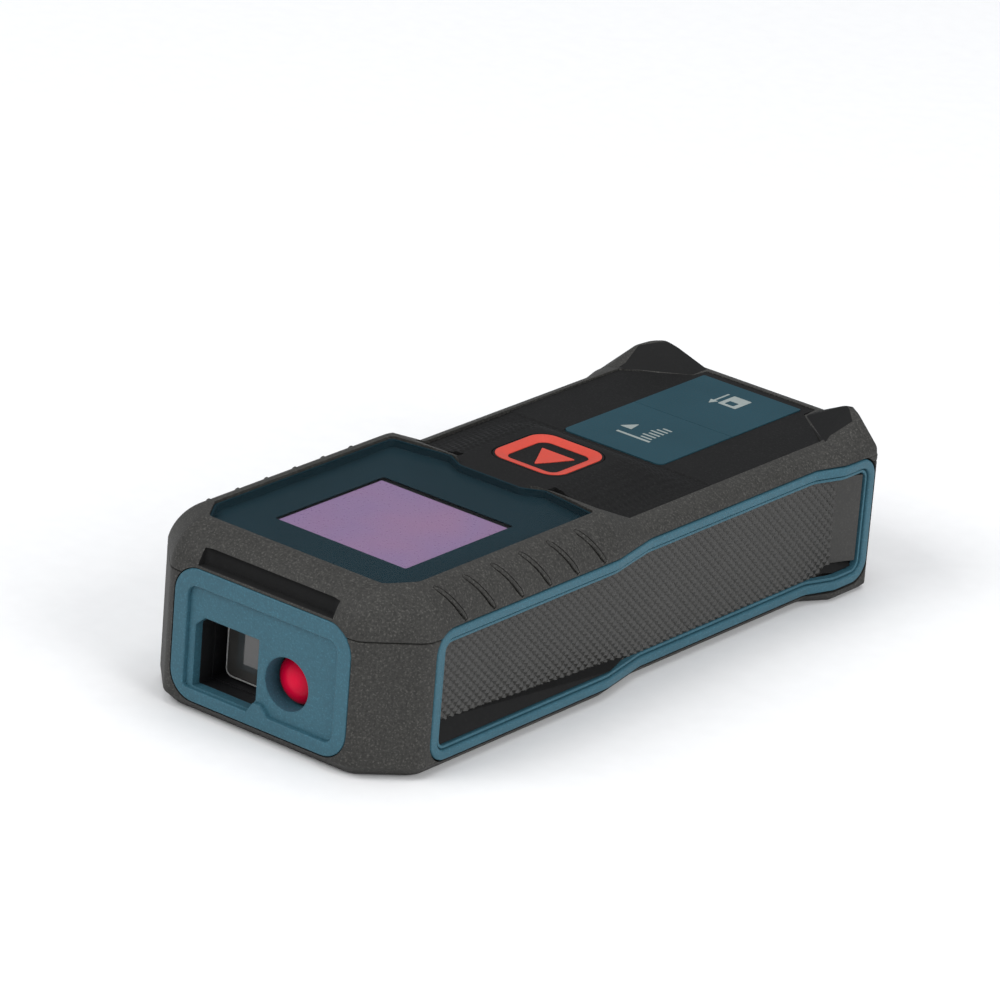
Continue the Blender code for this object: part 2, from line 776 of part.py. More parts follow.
def optics():
    alloy = material("carrier_black", (0.030, 0.030, 0.032), 0.45)
    carrier = box("optics_carrier", (-0.0118, -0.0482, 0.0026), (0.0096, -0.0240, 0.0153), alloy)
    cut(carrier, box("receiver_chamber", (-0.0109, -0.055, 0.0036), (-0.0006, -0.0262, 0.0142)))
    cut(carrier, cylinder("laser_bore", (LASER_X, AXIS_Z), 0.0036, -0.055, -0.010, "Y"))
    cut(carrier, cylinder("pinhole", (-0.0057, AXIS_Z), 0.0019, -0.030, -0.010, "Y", 20))
    clear = material("lens_clear", (0.70, 0.72, 0.72), 0.05)
    lens = box("receiver_lens", (-0.0106, -0.0472, 0.0039), (-0.0009, -0.0440, 0.0139), clear)
    bow = 0.022
    bm = bmesh.new()
    bmesh.ops.create_uvsphere(bm, u_segments=48, v_segments=32, radius=bow)
    bmesh.ops.translate(bm, vec=(-0.0057, -0.0470 + bow, AXIS_Z), verts=bm.verts)
    boolean(lens, from_bmesh("lens_bow", bm, None), "INTERSECT")
    can = material("detector_can", (0.70, 0.66, 0.52), 0.30, 1.0)
    cylinder("photodiode", (-0.0057, AXIS_Z), 0.0016, -0.0258, -0.0240, "Y", 20, can)
    green = bpy.data.materials["circuit_board"]
    box("detector_board", (-0.0116, -0.0237, 0.0032), (-0.0005, -0.0227, 0.0150), green)
    film = material("cable_film", (0.55, 0.28, 0.06), 0.45)
    path = [
        (-0.0224, 0.0080),
        (-0.0221, 0.0080),
        (-0.0221, 0.0151),
        (-0.0150, 0.0151),
        (-0.0150, 0.0154),
        (-0.0224, 0.0154),
    ]
    plate("detector_cable", [path], -0.0088, -0.0028, "X", film)


def laser():
    brass = material("brass", (0.70, 0.52, 0.22), 0.28, 1.0)
    profile = [
        (0.0, 0.0230),
        (0.0010, 0.0230),
        (0.0010, 0.0250),
        (0.0026, 0.0250),
        (0.0033, 0.0243),
        (0.0033, 0.0120),
        (0.0027, 0.0115),
        (0.0027, 0.0000),
        (0.0, 0.0000),
    ]
    turned("laser_module", profile, (LASER_X, -0.0215, AXIS_Z), brass, 32, True)
    red = material("red_lens", (0.55, 0.0, 0.035), 0.12)
    radius, edge, bulge = 0.0033, 0.0010, 0.0016
    dome = []
    for turn in (0.0, 0.35, 0.7, 1.05, 1.3, math.pi / 2):
        dome.append((radius * math.sin(turn), edge + bulge * math.cos(turn)))
    profile = [*dome, (radius, 0.0), (0.0, 0.0)]
    turned("laser_window", profile, (LASER_X, -0.0480, AXIS_Z), red, 32, True)


def battery(name, x, nub_to_tail):
    jacket = material("battery_jacket", (0.42, 0.43, 0.45), 0.35, 0.6)
    crimp = 0.0006
    top = CELL_BODY + CELL_NUB
    profile = [
        (0.0, top),
        (0.0018, top),
        (0.0019, CELL_BODY),
        (CELL_RADIUS - crimp, CELL_BODY),
        (CELL_RADIUS, CELL_BODY - crimp),
        (CELL_RADIUS, crimp),
        (CELL_RADIUS - crimp, 0.0),
        (0.0, 0.0),
    ]
    if nub_to_tail:
        cell = turned(name, profile, (x, CONTACT_TAIL - GAP - top, CELL_Z), jacket, 32)
        cell.rotation_euler = (-math.pi / 2, 0.0, 0.0)
    else:
        cell = turned(name, profile, (x, CONTACT_NOSE + GAP + top, CELL_Z), jacket, 32, True)
    return cell


def battery_spring(name, x, start, end):
    """A conical coil from its wide end at start to its narrow end at end, along Y."""
    wire, turns, per_turn = 0.00025, 3.5, 14
    count = int(turns * per_turn)
    run = end - start
    curve = bpy.data.curves.new(name, "CURVE")
    curve.dimensions = "3D"
    curve.bevel_depth = wire
    curve.bevel_resolution = 1
    curve.use_fill_caps = True
    spline = curve.splines.new("POLY")
    spline.points.add(count)
    for k, point in enumerate(spline.points):
        part = k / count
        turn = 2 * math.pi * turns * part
        radius = 0.0034 - 0.0014 * part
        y = start + run * part
        point.co = (x + radius * math.cos(turn), y, CELL_Z + radius * math.sin(turn), 1.0)
    return register(bpy.data.objects.new(name, curve), spring_steel())


def contacts():
    steel = spring_steel()
    for name, side in (("contact_negative", -1), ("contact_positive", 1)):
        middle = side * CELL_X
        outline = rectangle(middle - 0.0046, 0.0042, middle + 0.0046, 0.0118, 0.0008)
        plate(name, [outline], CONTACT_NOSE - CONTACT_THICK, CONTACT_NOSE, "Y", steel)
    outline = rectangle(-0.0105, 0.0042, 0.0105, 0.0118, 0.0008)
    plate("contact_bridge", [outline], CONTACT_TAIL, CONTACT_TAIL + CONTACT_THICK, "Y", steel)
    reach = 0.0004
    battery_spring("battery_spring_1", -CELL_X, CONTACT_NOSE + reach, CONTACT_TAIL - 0.0451 - reach)
    battery_spring("battery_spring_2", CELL_X, CONTACT_TAIL - reach, CONTACT_NOSE + 0.0451 + reach)


def battery_door():
    """The cover under the batteries. Its origin is on the hinge line, at its nose end."""
    outline = rectangle(-DOOR_HALF, DOOR_NOSE, DOOR_HALF, DOOR_TAIL, 0.00005, 1)
    door = plate("battery_door", [outline], 0.0, DOOR_THICK, finish=shell_plastic())
    barrel = cylinder("door_barrel", (DOOR_NOSE, HINGE_Z), HINGE_RADIUS, -DOOR_HALF, DOOR_HALF, "X", 20)
    trunnion = cylinder("door_trunnion", (DOOR_NOSE, HINGE_Z), 0.00035, -0.0123, 0.0123, "X", 12)
    join(door, barrel, trunnion)
    tongue = [(-0.0045, 0.0440), (-0.0045, 0.0432), (0.0045, 0.0432), (0.0045, 0.0440)]
    cut(door, plate("tongue_slot", [tongue], -0.01, 0.01))
    for side, label in ((-1, "left"), (1, "right")):
        low_x, high_x = sorted((side * 0.0045, side * 0.0052))
        cut(door, box(f"tongue_slot_{label}", (low_x, 0.0432, -0.01), (high_x, 0.0478, 0.01)))
    for k in range(4):
        y = 0.0448 + 0.0008 * k
        cut(door, box(f"tongue_groove_{k}", (-0.0036, y, -0.01), (0.0036, y + 0.0004, 0.0003)))
    hinge_line = Vector((0.0, DOOR_NOSE, HINGE_Z))
    for obj in (door, barrel, trunnion):
        obj.data.transform(Matrix.Translation(-hinge_line))
        obj.location = hinge_line
    return door


def screws():
    steel = material("screw_steel", (0.30, 0.30, 0.31), 0.35, 1.0)
    for number, (x, y) in enumerate(screw_places(), 1):
        profile = [
            (0.0, 0.0170),
            (0.0006, 0.0166),
            (0.0006, 0.0016),
            (0.0013, 0.0015),
            (0.0013, 0.0005),
            (0.0011, 0.0003),
            (0.0, 0.0003),
        ]
        screw = turned(f"housing_screw_{number}", profile, (x, y, 0.0), steel, 20)
        slot_wide = 0.00028
        for turned_by, label in ((0, "along"), (1, "across")):
            half = (0.0009, slot_wide) if turned_by == 0 else (slot_wide, 0.0009)
            low = (x - half[0], y - half[1], -0.001)
            high = (x + half[0], y + half[1], 0.0011)
            cut(screw, box(f"cross_{label}_{number}", low, high))


def housing_seal():
    grey = material("seal_rubber", (0.050, 0.050, 0.052), 0.75)
    outer = inset_corners(cavity_corners(), 0.00015)
    inner = inset_corners(outer, 0.0005)
    plate("housing_seal", [rounded(outer, 2), rounded(inner, 2)], 0.0171, 0.0181, finish=grey)


def build():
    upper_shell()
    lower_shell()
    nose_panel()
    for side, label in ((-1, "left"), (1, "right")):
        side_trim(side, label)
        grip_panel(side, label)
    display_window()
    lcd_stack()
    keypad_mat()
    measure_button()
    label_button("function_button", FUNCTION_Y, LABEL_NOSE, LABEL_SPLIT - GAP / 2)
    label_button("reference_button", REFERENCE_Y, LABEL_SPLIT + GAP / 2, LABEL_TAIL)
    main_board()
    optics()
    laser()
    battery("battery_1", -CELL_X, True)
    battery("battery_2", CELL_X, False)
    contacts()
    battery_door()
    screws()
    housing_seal()


build()
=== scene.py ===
import math

import bmesh
import bpy
from mathutils import Matrix, Vector


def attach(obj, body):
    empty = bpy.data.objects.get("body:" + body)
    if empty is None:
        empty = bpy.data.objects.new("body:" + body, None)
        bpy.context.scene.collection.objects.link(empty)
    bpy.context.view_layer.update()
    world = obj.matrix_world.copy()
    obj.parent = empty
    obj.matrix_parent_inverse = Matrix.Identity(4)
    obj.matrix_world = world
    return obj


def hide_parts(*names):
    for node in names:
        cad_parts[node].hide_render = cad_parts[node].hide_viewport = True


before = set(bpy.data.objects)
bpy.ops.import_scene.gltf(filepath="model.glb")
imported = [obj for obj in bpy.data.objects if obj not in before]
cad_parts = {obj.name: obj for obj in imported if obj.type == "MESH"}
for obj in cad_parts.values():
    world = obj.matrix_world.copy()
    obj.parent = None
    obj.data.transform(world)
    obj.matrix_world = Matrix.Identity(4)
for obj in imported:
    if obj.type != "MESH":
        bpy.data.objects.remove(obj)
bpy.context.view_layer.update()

# All shapes below are drawn in millimetres and scaled to metres when they are finished.
MM = 0.001
NOSE = -52.5
SIDE = 21.6
SHOULDER = 19.1
PARTING = 18.22
SEAM = 0.06
CAVITY_FLOOR = 2.2
SIDE_WALL = 17.4
AXIS_Z = 8.7
LASER_X = 4.1
LASER_HOLE = 3.5
MEASURE_Y = 2.9
MEASURE_HALF = 5.68
MEASURE_ROUND = 2.6
GLASS_TOP = 23.9
PRINT_TOP = 22.9
KEYPAD_FLAT = 21.2
PLATEAU = 23.7
LABEL_HALF = 8.2
LABEL_NOSE = 16.3
LABEL_SPLIT = 31.6
LABEL_TAIL = 46.9
TRIM = (-44.5, 1.45, 46.2, 19.1)
TRIM_BAND = 1.85
TRIM_ROOT = 17.8
GRIP_FACE = 19.5
SCREWS = [(side * 13.6, y) for y in (-46.1, 30.0) for side in (-1, 1)]


# ---------------------------------------------------------------- outlines


def rounded(corners, segments=6):
    """A closed outline from corners (x, y, radius), each rounded by an arc."""
    points = []
    count = len(corners)
    for i, (x, y, radius) in enumerate(corners):
        here = Vector((x, y))
        before = (Vector(corners[i - 1][:2]) - here).normalized()
        after = (Vector(corners[(i + 1) % count][:2]) - here).normalized()
        half = before.angle(after) / 2
        middle = here + (before + after).normalized() * (radius / math.sin(half))
        start = here + before * (radius / math.tan(half)) - middle
        end = here + after * (radius / math.tan(half)) - middle
        sweep = start.angle_signed(end)
        for k in range(segments + 1):
            arm = start.copy()
            arm.rotate(Matrix.Rotation(-sweep * k / segments, 2))
            points.append(tuple(middle + arm))
    return points


def mirrored(corners):
    return corners + [(-corner[0], *corner[1:]) for corner in reversed(corners)]


def rectangle(u0, v0, u1, v1, radius, segments=6):
    corners = [(u0, v0, radius), (u1, v0, radius), (u1, v1, radius), (u0, v1, radius)]
    return rounded(corners, segments)


def circle(u, v, radius, sides=48):
    turns = [2 * math.pi * k / sides for k in range(sides)]
    return [(u + radius * math.cos(turn), v + radius * math.sin(turn)) for turn in turns]


def inset(corners, distance):
    """The same corners moved inwards, with their radii."""
    moved = []
    count = len(corners)
    for i, (x, y, radius) in enumerate(corners):
        here = Vector((x, y))
        before = (here - Vector(corners[i - 1][:2])).normalized()
        after = (Vector(corners[(i + 1) % count][:2]) - here).normalized()
        normal = (before + after).normalized().orthogonal()
        shift = distance / math.cos(before.angle(after) / 2)
        moved.append((*(here + normal * shift), radius))
    return moved


def dense(points, step):
    """The same outline with points at most a step apart."""
    made = []
    for first, second in zip(points, points[1:] + points[:1]):
        length = math.dist(first, second)
        pieces = max(1, math.ceil(length / step))
        for k in range(pieces):
            made.append(tuple(Vector(first).lerp(Vector(second), k / pieces)))
    return made


HOUSING = mirrored(
    [
        (15.2, NOSE, 3.0),
        (SIDE, -46.1, 3.0),
        (SIDE, -9.0, 4.0),
        (20.0, -0.4, 4.0),
        (20.0, 35.0, 2.5),
        (SIDE, 39.4, 2.5),
        (SIDE, 46.3, 0.8),
        (15.4, 52.5, 0.8),
    ]
)
RIM = mirrored(
    [
        (14.6, -47.6, 2.0),
        (17.3, -43.4, 2.0),
        (17.3, -7.8, 2.0),
        (17.2, -1.4, 1.0),
        (17.2, 35.0, 1.0),
        (17.0, 39.4, 1.0),
        (16.4, 44.0, 1.0),
        (11.0, 49.2, 1.0),
    ]
)
HEAD_TOP, WAIST_TOP, TAIL_TOP = 24.2, 21.45, 21.05
RIM_HEIGHTS = [HEAD_TOP] * 3 + [WAIST_TOP] * 3 + [TAIL_TOP] * 2
GLASS = mirrored(
    [(14.2, -47.0, 1.5), (16.7, -43.1, 1.5), (16.7, -8.7, 0.8), (7.8, -7.3, 0.6), (5.0, -8.9, 2.0)]
)
KEYPAD = mirrored(
    [
        (4.9, -8.85, 2.0),
        (7.5, -7.15, 0.6),
        (7.4, -5.0, 0.4),
        (14.9, -6.0, 0.6),
        (16.9, -2.8, 0.9),
        (17.0, 39.4, 0.4),
        (9.3, 46.0, 0.4),
        (9.1, 48.8, 0.4),
    ]
)
CAVITY = mirrored([(15.0, -48.6, 0.4), (16.0, -47.6, 0.4), (16.0, 48.9, 0.4), (14.5, 50.4, 0.4)])


def panel_outline(margin):
    return rectangle(
        -14.4 - margin, 1.6 - margin, 14.4 + margin, 19.5 + margin, 3.8 + margin, 10
    )


def window_outline(margin):
    corners = [
        (-11.1, 3.5, 0.15),
        (-1.7, 3.5, 0.15),
        (-0.7, 5.0, 0.15),
        (-0.7, 13.1, 0.15),
        (-9.7, 13.1, 0.15),
        (-11.1, 11.8, 0.15),
    ]
    return rounded(inset(corners, -margin), 3)


def trim_outline(margin):
    y0, z0, y1, z1 = TRIM
    outline = rectangle(y0 - margin, z0 - margin, y1 + margin, z1 + margin, 3.0 + margin, 10)
    return dense(outline, 0.8)


def measure_outline(margin):
    half = MEASURE_HALF + margin
    outline = rectangle(
        -half, MEASURE_Y - half, half, MEASURE_Y + half, max(MEASURE_ROUND + 0.8 * margin, 0.3), 12
    )
    return dense(outline, 0.5)


# ---------------------------------------------------------------- meshes


def linked(name, mesh):
    obj = bpy.data.objects.new(name, mesh)
    bpy.context.scene.collection.objects.link(obj)
    return obj


def from_bmesh(name, bm):
    bmesh.ops.recalc_face_normals(bm, faces=bm.faces)
    mesh = bpy.data.meshes.new(name)
    bm.to_mesh(mesh)
    bm.free()
    return linked(name, mesh)


AXES = {
    "X": Matrix(((0, 0, 1, 0), (1, 0, 0, 0), (0, 1, 0, 0), (0, 0, 0, 1))),
    "Y": Matrix(((1, 0, 0, 0), (0, 0, 1, 0), (0, 1, 0, 0), (0, 0, 0, 1))),
    "Z": Matrix.Identity(4),
}


def curve_skin(name, curve):
    """The closed skin of a curve, as a bmesh. The curve's object is removed."""
    obj = linked(name, curve)
    graph = bpy.context.evaluated_depsgraph_get()
    mesh = bpy.data.meshes.new_from_object(obj.evaluated_get(graph))
    bpy.data.objects.remove(obj, do_unlink=True)
    bm = bmesh.new()
    bm.from_mesh(mesh)
    bpy.data.meshes.remove(mesh)
    bmesh.ops.remove_doubles(bm, verts=bm.verts, dist=1e-3)
    return bm


def plate(name, outlines, low, high, axis="Z", rim=0.0, steps=2):
    """Flat outlines, the first outside and the others holes, extruded with rounded rims."""
    curve = bpy.data.curves.new(name, "CURVE")
    curve.dimensions = "2D"
    curve.fill_mode = "BOTH"
    curve.extrude = (high - low) / 2 - rim
    curve.bevel_depth = rim
    curve.bevel_resolution = steps
    curve.offset = -rim
    for outline in outlines:
        spline = curve.splines.new("POLY")
        spline.points.add(len(outline) - 1)
        for point, (u, v) in zip(spline.points, outline):
            point.co = (u, v, 0.0, 1.0)
        spline.use_cyclic_u = True
    bm = curve_skin(name, curve)
    bmesh.ops.translate(bm, vec=(0, 0, (low + high) / 2), verts=bm.verts)
    bmesh.ops.transform(bm, matrix=AXES[axis], verts=bm.verts)
    return from_bmesh(name, bm)


def box(name, low, high):
    low, high = Vector(low), Vector(high)
    bm = bmesh.new()
    bmesh.ops.create_cube(bm, size=1.0)
    bmesh.ops.scale(bm, vec=high - low, verts=bm.verts)
    bmesh.ops.translate(bm, vec=(low + high) / 2, verts=bm.verts)
    return from_bmesh(name, bm)


def cylinder(name, centre, radius, low, high, axis="Z", sides=48):
    return plate(name, [circle(*centre, radius, sides)], low, high, axis)


def hull(name, points, soft=0.0):
    """The convex body of a few points, with softened edges."""
    bm = bmesh.new()
    for point in points:
        bm.verts.new(point)
    made = bmesh.ops.convex_hull(bm, input=bm.verts)
    spare = {item for item in made["geom_interior"] if isinstance(item, bmesh.types.BMVert)}
    bmesh.ops.delete(bm, geom=list(spare), context="VERTS")
    bmesh.ops.dissolve_limit(bm, angle_limit=0.02, verts=bm.verts, edges=bm.edges)
    if soft:
        bmesh.ops.bevel(
            bm, geom=bm.edges, offset=soft, segments=3, profile=0.5, affect="EDGES"
        )
    return from_bmesh(name, bm)


def skin(bm, rings, closed=False):
    """Faces from each ring to the next, and from the last to the first if it is closed."""
    rows = [[bm.verts.new(point) for point in ring] for ring in rings]
    for lower, upper in zip(rows, rows[1:] + rows[:1] if closed else rows[1:]):
        for i in range(len(lower)):
            j = (i + 1) % len(lower)
            bm.faces.new((lower[i], lower[j], upper[j], upper[i]))
    return rows


def loft(name, rings, roofed=False):
    """A skin through rings of equal length, closed below and above."""
    bm = bmesh.new()
    rows = skin(bm, rings)
    count = len(rows[0])
    bm.faces.new(rows[0])
    top = rows[-1]
    if roofed:
        for i in range(count // 2 - 1):
            bm.faces.new((top[i], top[i + 1], top[count - 2 - i], top[count - 1 - i]))
    else:
        bm.faces.new(top)
    bmesh.ops.triangulate(bm, faces=[face for face in bm.faces if len(face.verts) > 4])
    return from_bmesh(name, bm)


def turned(name, profile, place, axis="Z", steps=64):
    """A profile of (radius, height) turned round an axis through a place."""
    bm = bmesh.new()
    rings = []
    for radius, height in profile:
        if radius == 0:
            rings.append([bm.verts.new((0, 0, height))])
        else:
            rings.append([bm.verts.new((*point, height)) for point in circle(0, 0, radius, steps)])
    for lower, upper in zip(rings, rings[1:]):
        for i in range(steps):
            j = (i + 1) % steps
            if len(lower) == 1:
                bm.faces.new((lower[0], upper[j], upper[i]))
            elif len(upper) == 1:
                bm.faces.new((lower[i], lower[j], upper[0]))
            else:
                bm.faces.new((lower[i], lower[j], upper[j], upper[i]))
    bmesh.ops.transform(bm, matrix=AXES[axis], verts=bm.verts)
    bmesh.ops.translate(bm, vec=place, verts=bm.verts)
    return from_bmesh(name, bm)


def tube(name, paths, radius, taper=0.45):
    """Round bars along paths, with their ends drawn in."""
    curve = bpy.data.curves.new(name, "CURVE")
    curve.dimensions = "3D"
    curve.bevel_depth = radius
    curve.bevel_resolution = 2
    curve.use_fill_caps = True
    for path in paths:
        spline = curve.splines.new("POLY")
        spline.points.add(len(path) - 1)
        for k, (point, place) in enumerate(zip(spline.points, path)):
            point.co = (*place, 1.0)
            point.radius = taper if k in (0, len(path) - 1) else 1.0
    return from_bmesh(name, curve_skin(name, curve))


def applied(obj):
    """Turns the object's modifiers into its own mesh."""
    bpy.context.view_layer.update()
    graph = bpy.context.evaluated_depsgraph_get()
    mesh = bpy.data.meshes.new_from_object(obj.evaluated_get(graph))
    obj.modifiers.clear()
    obj.data = mesh
    return obj


def combine(target, others, operation):
    """A Boolean with each of the others, which are then removed."""
    for other in others:
        modifier = target.modifiers.new("boolean", "BOOLEAN")
        modifier.operation = operation
        modifier.object = other
        modifier.solver = "MANIFOLD"
    applied(target)
    for other in others:
        bpy.data.objects.remove(other, do_unlink=True)
    return target


def cut(target, *others):
    return combine(target, others, "DIFFERENCE")


def join(target, *others):
    return combine(target, others, "UNION")


def piece(obj, body, finish, nodes=(), angle=38):
    """Scales a shape to metres, gives it its finish and puts it on a body of the frame."""
    obj.data.transform(Matrix.Scale(MM, 4))
    obj.data.materials.clear()
    for each in finish if isinstance(finish, tuple) else (finish,):
        obj.data.materials.append(each)
    obj.data.shade_smooth()
    obj.data.set_sharp_from_angle(angle=math.radians(angle))
    weighted = obj.modifiers.new("even_shading", "WEIGHTED_NORMAL")
    weighted.keep_sharp = True
    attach(obj, body)
    if nodes:
        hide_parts(*nodes)
    return obj


# ---------------------------------------------------------------- materials


def link(tree, source, output, target, socket):
    tree.links.new(source.outputs[output], target.inputs[socket])


def noise(tree, place, size, detail=2.0, stretch=None):
    """Noise whose grains are a size in millimetres."""
    made = tree.nodes.new("ShaderNodeTexNoise")
    made.inputs["Scale"].default_value = 1000 / size
    made.inputs["Detail"].default_value = detail
    if stretch:
        mapping = tree.nodes.new("ShaderNodeMapping")
        mapping.inputs["Scale"].default_value = stretch
        link(tree, place, "Object", mapping, "Vector")
        link(tree, mapping, "Vector", made, "Vector")
    else:
        link(tree, place, "Object", made, "Vector")
    return made


def ramp(tree, source, output, stops):
    made = tree.nodes.new("ShaderNodeValToRGB")
    link(tree, source, output, made, "Fac")
    while len(made.color_ramp.elements) < len(stops):
        made.color_ramp.elements.new(0.5)
    for element, (position, colour) in zip(made.color_ramp.elements, stops):
        element.position = position
        element.color = (*colour, 1.0)
    return made


def spread(tree, source, output, low, high):
    """Maps a noise's usual range to another range."""
    made = tree.nodes.new("ShaderNodeMapRange")
    made.inputs["From Min"].default_value = 0.3
    made.inputs["From Max"].default_value = 0.7
    made.inputs["To Min"].default_value = low
    made.inputs["To Max"].default_value = high
    link(tree, source, output, made, "Value")
    return made


def bump(tree, shader, source, output, depth, strength=1.0):
    made = tree.nodes.new("ShaderNodeBump")
    made.inputs["Strength"].default_value = strength
    made.inputs["Distance"].default_value = depth * MM
    link(tree, source, output, made, "Height")
    link(tree, made, "Normal", shader, "Normal")
    return made


def shade(colour, factor):
    return tuple(min(channel * factor, 1.0) for channel in colour)


def surface(name, **sockets):
    mat = bpy.data.materials.new(name)
    mat.use_nodes = True
    tree = mat.node_tree
    shader = tree.nodes["Principled BSDF"]
    for socket, value in sockets.items():
        shader.inputs[socket.replace("_", " ")].default_value = value
    place = tree.nodes.new("ShaderNodeTexCoord")
    return mat, tree, shader, place


def blended(tree, kind, first, second):
    """The colour output of a full mix of two colour outputs."""
    mix = tree.nodes.new("ShaderNodeMix")
    mix.data_type = "RGBA"
    mix.blend_type = kind
    mix.inputs["Factor"].default_value = 1.0
    tree.links.new(first, mix.inputs[6])
    tree.links.new(second, mix.inputs[7])
    return mix.outputs[2]


def moulded(name, colour, grain, contrast, gloss, depth, glint_share=0.0, **sockets):
    """Moulded plastic or rubber: speckled colour, a few painted glints and a fine relief."""
    mat, tree, shader, place = surface(name, **sockets)
    fine = noise(tree, place, grain, 3.0)
    broad = noise(tree, place, 9.0)
    speckle = ramp(
        tree,
        fine,
        "Fac",
        [
            (0.30, shade(colour, 1 - contrast)),
            (0.52, colour),
            (0.66, shade(colour, 1 + contrast)),
            (0.78, shade(colour, 1 + 3 * contrast)),
        ],
    )
    tone = ramp(tree, broad, "Fac", [(0.3, (0.90, 0.90, 0.90)), (0.7, (1.0, 1.0, 1.0))])
    toned = blended(tree, "MULTIPLY", speckle.outputs["Color"], tone.outputs["Color"])
    # Painted glints: small bright spots added to the base colour stand in for sparkle of light on the
    # grain.
    glint_spots = noise(tree, place, 0.24, 0.0)
    painted_glint = ramp(
        tree, glint_spots, "Fac", [(0.62, (0.0, 0.0, 0.0)), (0.74, shade(colour, glint_share))]
    )
    with_painted_glints = blended(tree, "ADD", toned, painted_glint.outputs["Color"])
    tree.links.new(with_painted_glints, shader.inputs["Base Color"])
    uneven = spread(tree, fine, "Fac", gloss - 0.08, gloss + 0.08)
    link(tree, uneven, "Result", shader, "Roughness")
    bump(tree, shader, fine, "Fac", depth)
    return mat


def metal(name, colour, gloss, stretch=(1, 1, 1), grain=0.3):
    mat, tree, shader, place = surface(name, Metallic=1.0)
    brushed = noise(tree, place, grain, 4.0, stretch)
    tone = ramp(
        tree, brushed, "Fac", [(0.3, shade(colour, 0.8)), (0.7, shade(colour, 1.1))]
    )
    link(tree, tone, "Color", shader, "Base Color")
    uneven = spread(tree, brushed, "Fac", gloss - 0.07, gloss + 0.10)
    link(tree, uneven, "Result", shader, "Roughness")
    bump(tree, shader, brushed, "Fac", 0.01)
    return mat


def thin_glass():
    """Clear plastic pane: it lets light straight through and mirrors a little of the room."""
    mat = bpy.data.materials.new("display_glass")
    mat.use_nodes = True
    tree = mat.node_tree
    tree.nodes.remove(tree.nodes["Principled BSDF"])
    output = tree.nodes["Material Output"]
    place = tree.nodes.new("ShaderNodeTexCoord")
    clear = tree.nodes.new("ShaderNodeBsdfTransparent")
    clear.inputs["Color"].default_value = (0.96, 0.97, 0.97, 1.0)
    mirror = tree.nodes.new("ShaderNodeBsdfGlossy")
    smudge = noise(tree, place, 6.0, 4.0)
    uneven = spread(tree, smudge, "Fac", 0.03, 0.10)
    link(tree, uneven, "Result", mirror, "Roughness")
    # Schlick's curve, weakened as by an anti-reflection layer. It is the same on both faces.
    facing = tree.nodes.new("ShaderNodeLayerWeight")
    facing.inputs["Blend"].default_value = 0.5
    curve = tree.nodes.new("ShaderNodeMath")
    curve.operation = "POWER"
    curve.inputs[1].default_value = 5.0
    link(tree, facing, "Facing", curve, 0)
    share = tree.nodes.new("ShaderNodeMath")
    share.operation = "MULTIPLY_ADD"
    share.inputs[1].default_value = 0.10
    share.inputs[2].default_value = 0.003
    link(tree, curve, "Value", share, 0)
    mix = tree.nodes.new("ShaderNodeMixShader")
    link(tree, share, "Value", mix, 0)
    link(tree, clear, "BSDF", mix, 1)
    link(tree, mirror, "BSDF", mix, 2)
    link(tree, mix, "Shader", output, "Surface")
    return mat


def painted_glow_red_lens():
    """The red filter in front of the laser, with a painted glow: its colour and its emission are
    painted brightest at its middle and darker towards its edge.
    """
    mat, tree, shader, place = surface(
        "red_lens", Roughness=0.25, Specular_IOR_Level=0.12
    )
    shift = tree.nodes.new("ShaderNodeMapping")
    shift.vector_type = "POINT"
    shift.inputs["Location"].default_value = (-LASER_X / 3.4, 50.0 / 3.4, -AXIS_Z / 3.4)
    shift.inputs["Scale"].default_value = (1000 / 3.4, 1000 / 3.4, 1000 / 3.4)
    glow_falloff = tree.nodes.new("ShaderNodeTexGradient")
    glow_falloff.gradient_type = "SPHERICAL"
    link(tree, place, "Object", shift, "Vector")
    link(tree, shift, "Vector", glow_falloff, "Vector")
    # Painted glow and painted shade: the base colour is brightest at the middle and painted darker
    # towards the edge.
    base = ramp(tree, glow_falloff, "Fac", [(0.0, (0.10, 0.0, 0.008)), (0.75, (0.36, 0.0, 0.022))])
    link(tree, base, "Color", shader, "Base Color")
    # Painted glow: emission, though the filter is no lamp, strongest at its middle.
    light = ramp(tree, glow_falloff, "Fac", [(0.0, (0.02, 0.0, 0.002)), (0.8, (0.60, 0.0, 0.026))])
    link(tree, light, "Color", shader, "Emission Color")
    shader.inputs["Emission Strength"].default_value = 0.55
    return mat


def lcd_glass():
    """The lit area of the display: a soft violet that turns pinker at one corner."""
    mat, tree, shader, place = surface("lcd_cell", Roughness=0.30)
    broad = noise(tree, place, 14.0, 2.0)
    dots = noise(tree, place, 0.35, 2.0)
    tone = ramp(
        tree,
        broad,
        "Fac",
        [(0.30, (0.270, 0.146, 0.276)), (0.50, (0.254, 0.152, 0.298)), (0.75, (0.296, 0.155, 0.280))],
    )
    grain = ramp(tree, dots, "Fac", [(0.3, (0.975, 0.975, 0.975)), (0.7, (1.0, 1.0, 1.0))])
    mix = tree.nodes.new("ShaderNodeMix")
    mix.data_type = "RGBA"
    mix.blend_type = "MULTIPLY"
    mix.inputs["Factor"].default_value = 1.0
    tree.links.new(tone.outputs["Color"], mix.inputs[6])
    tree.links.new(grain.outputs["Color"], mix.inputs[7])
    tree.links.new(mix.outputs[2], shader.inputs["Base Color"])
    uneven = spread(tree, dots, "Fac", 0.25, 0.40)
    link(tree, uneven, "Result", shader, "Roughness")
    return mat


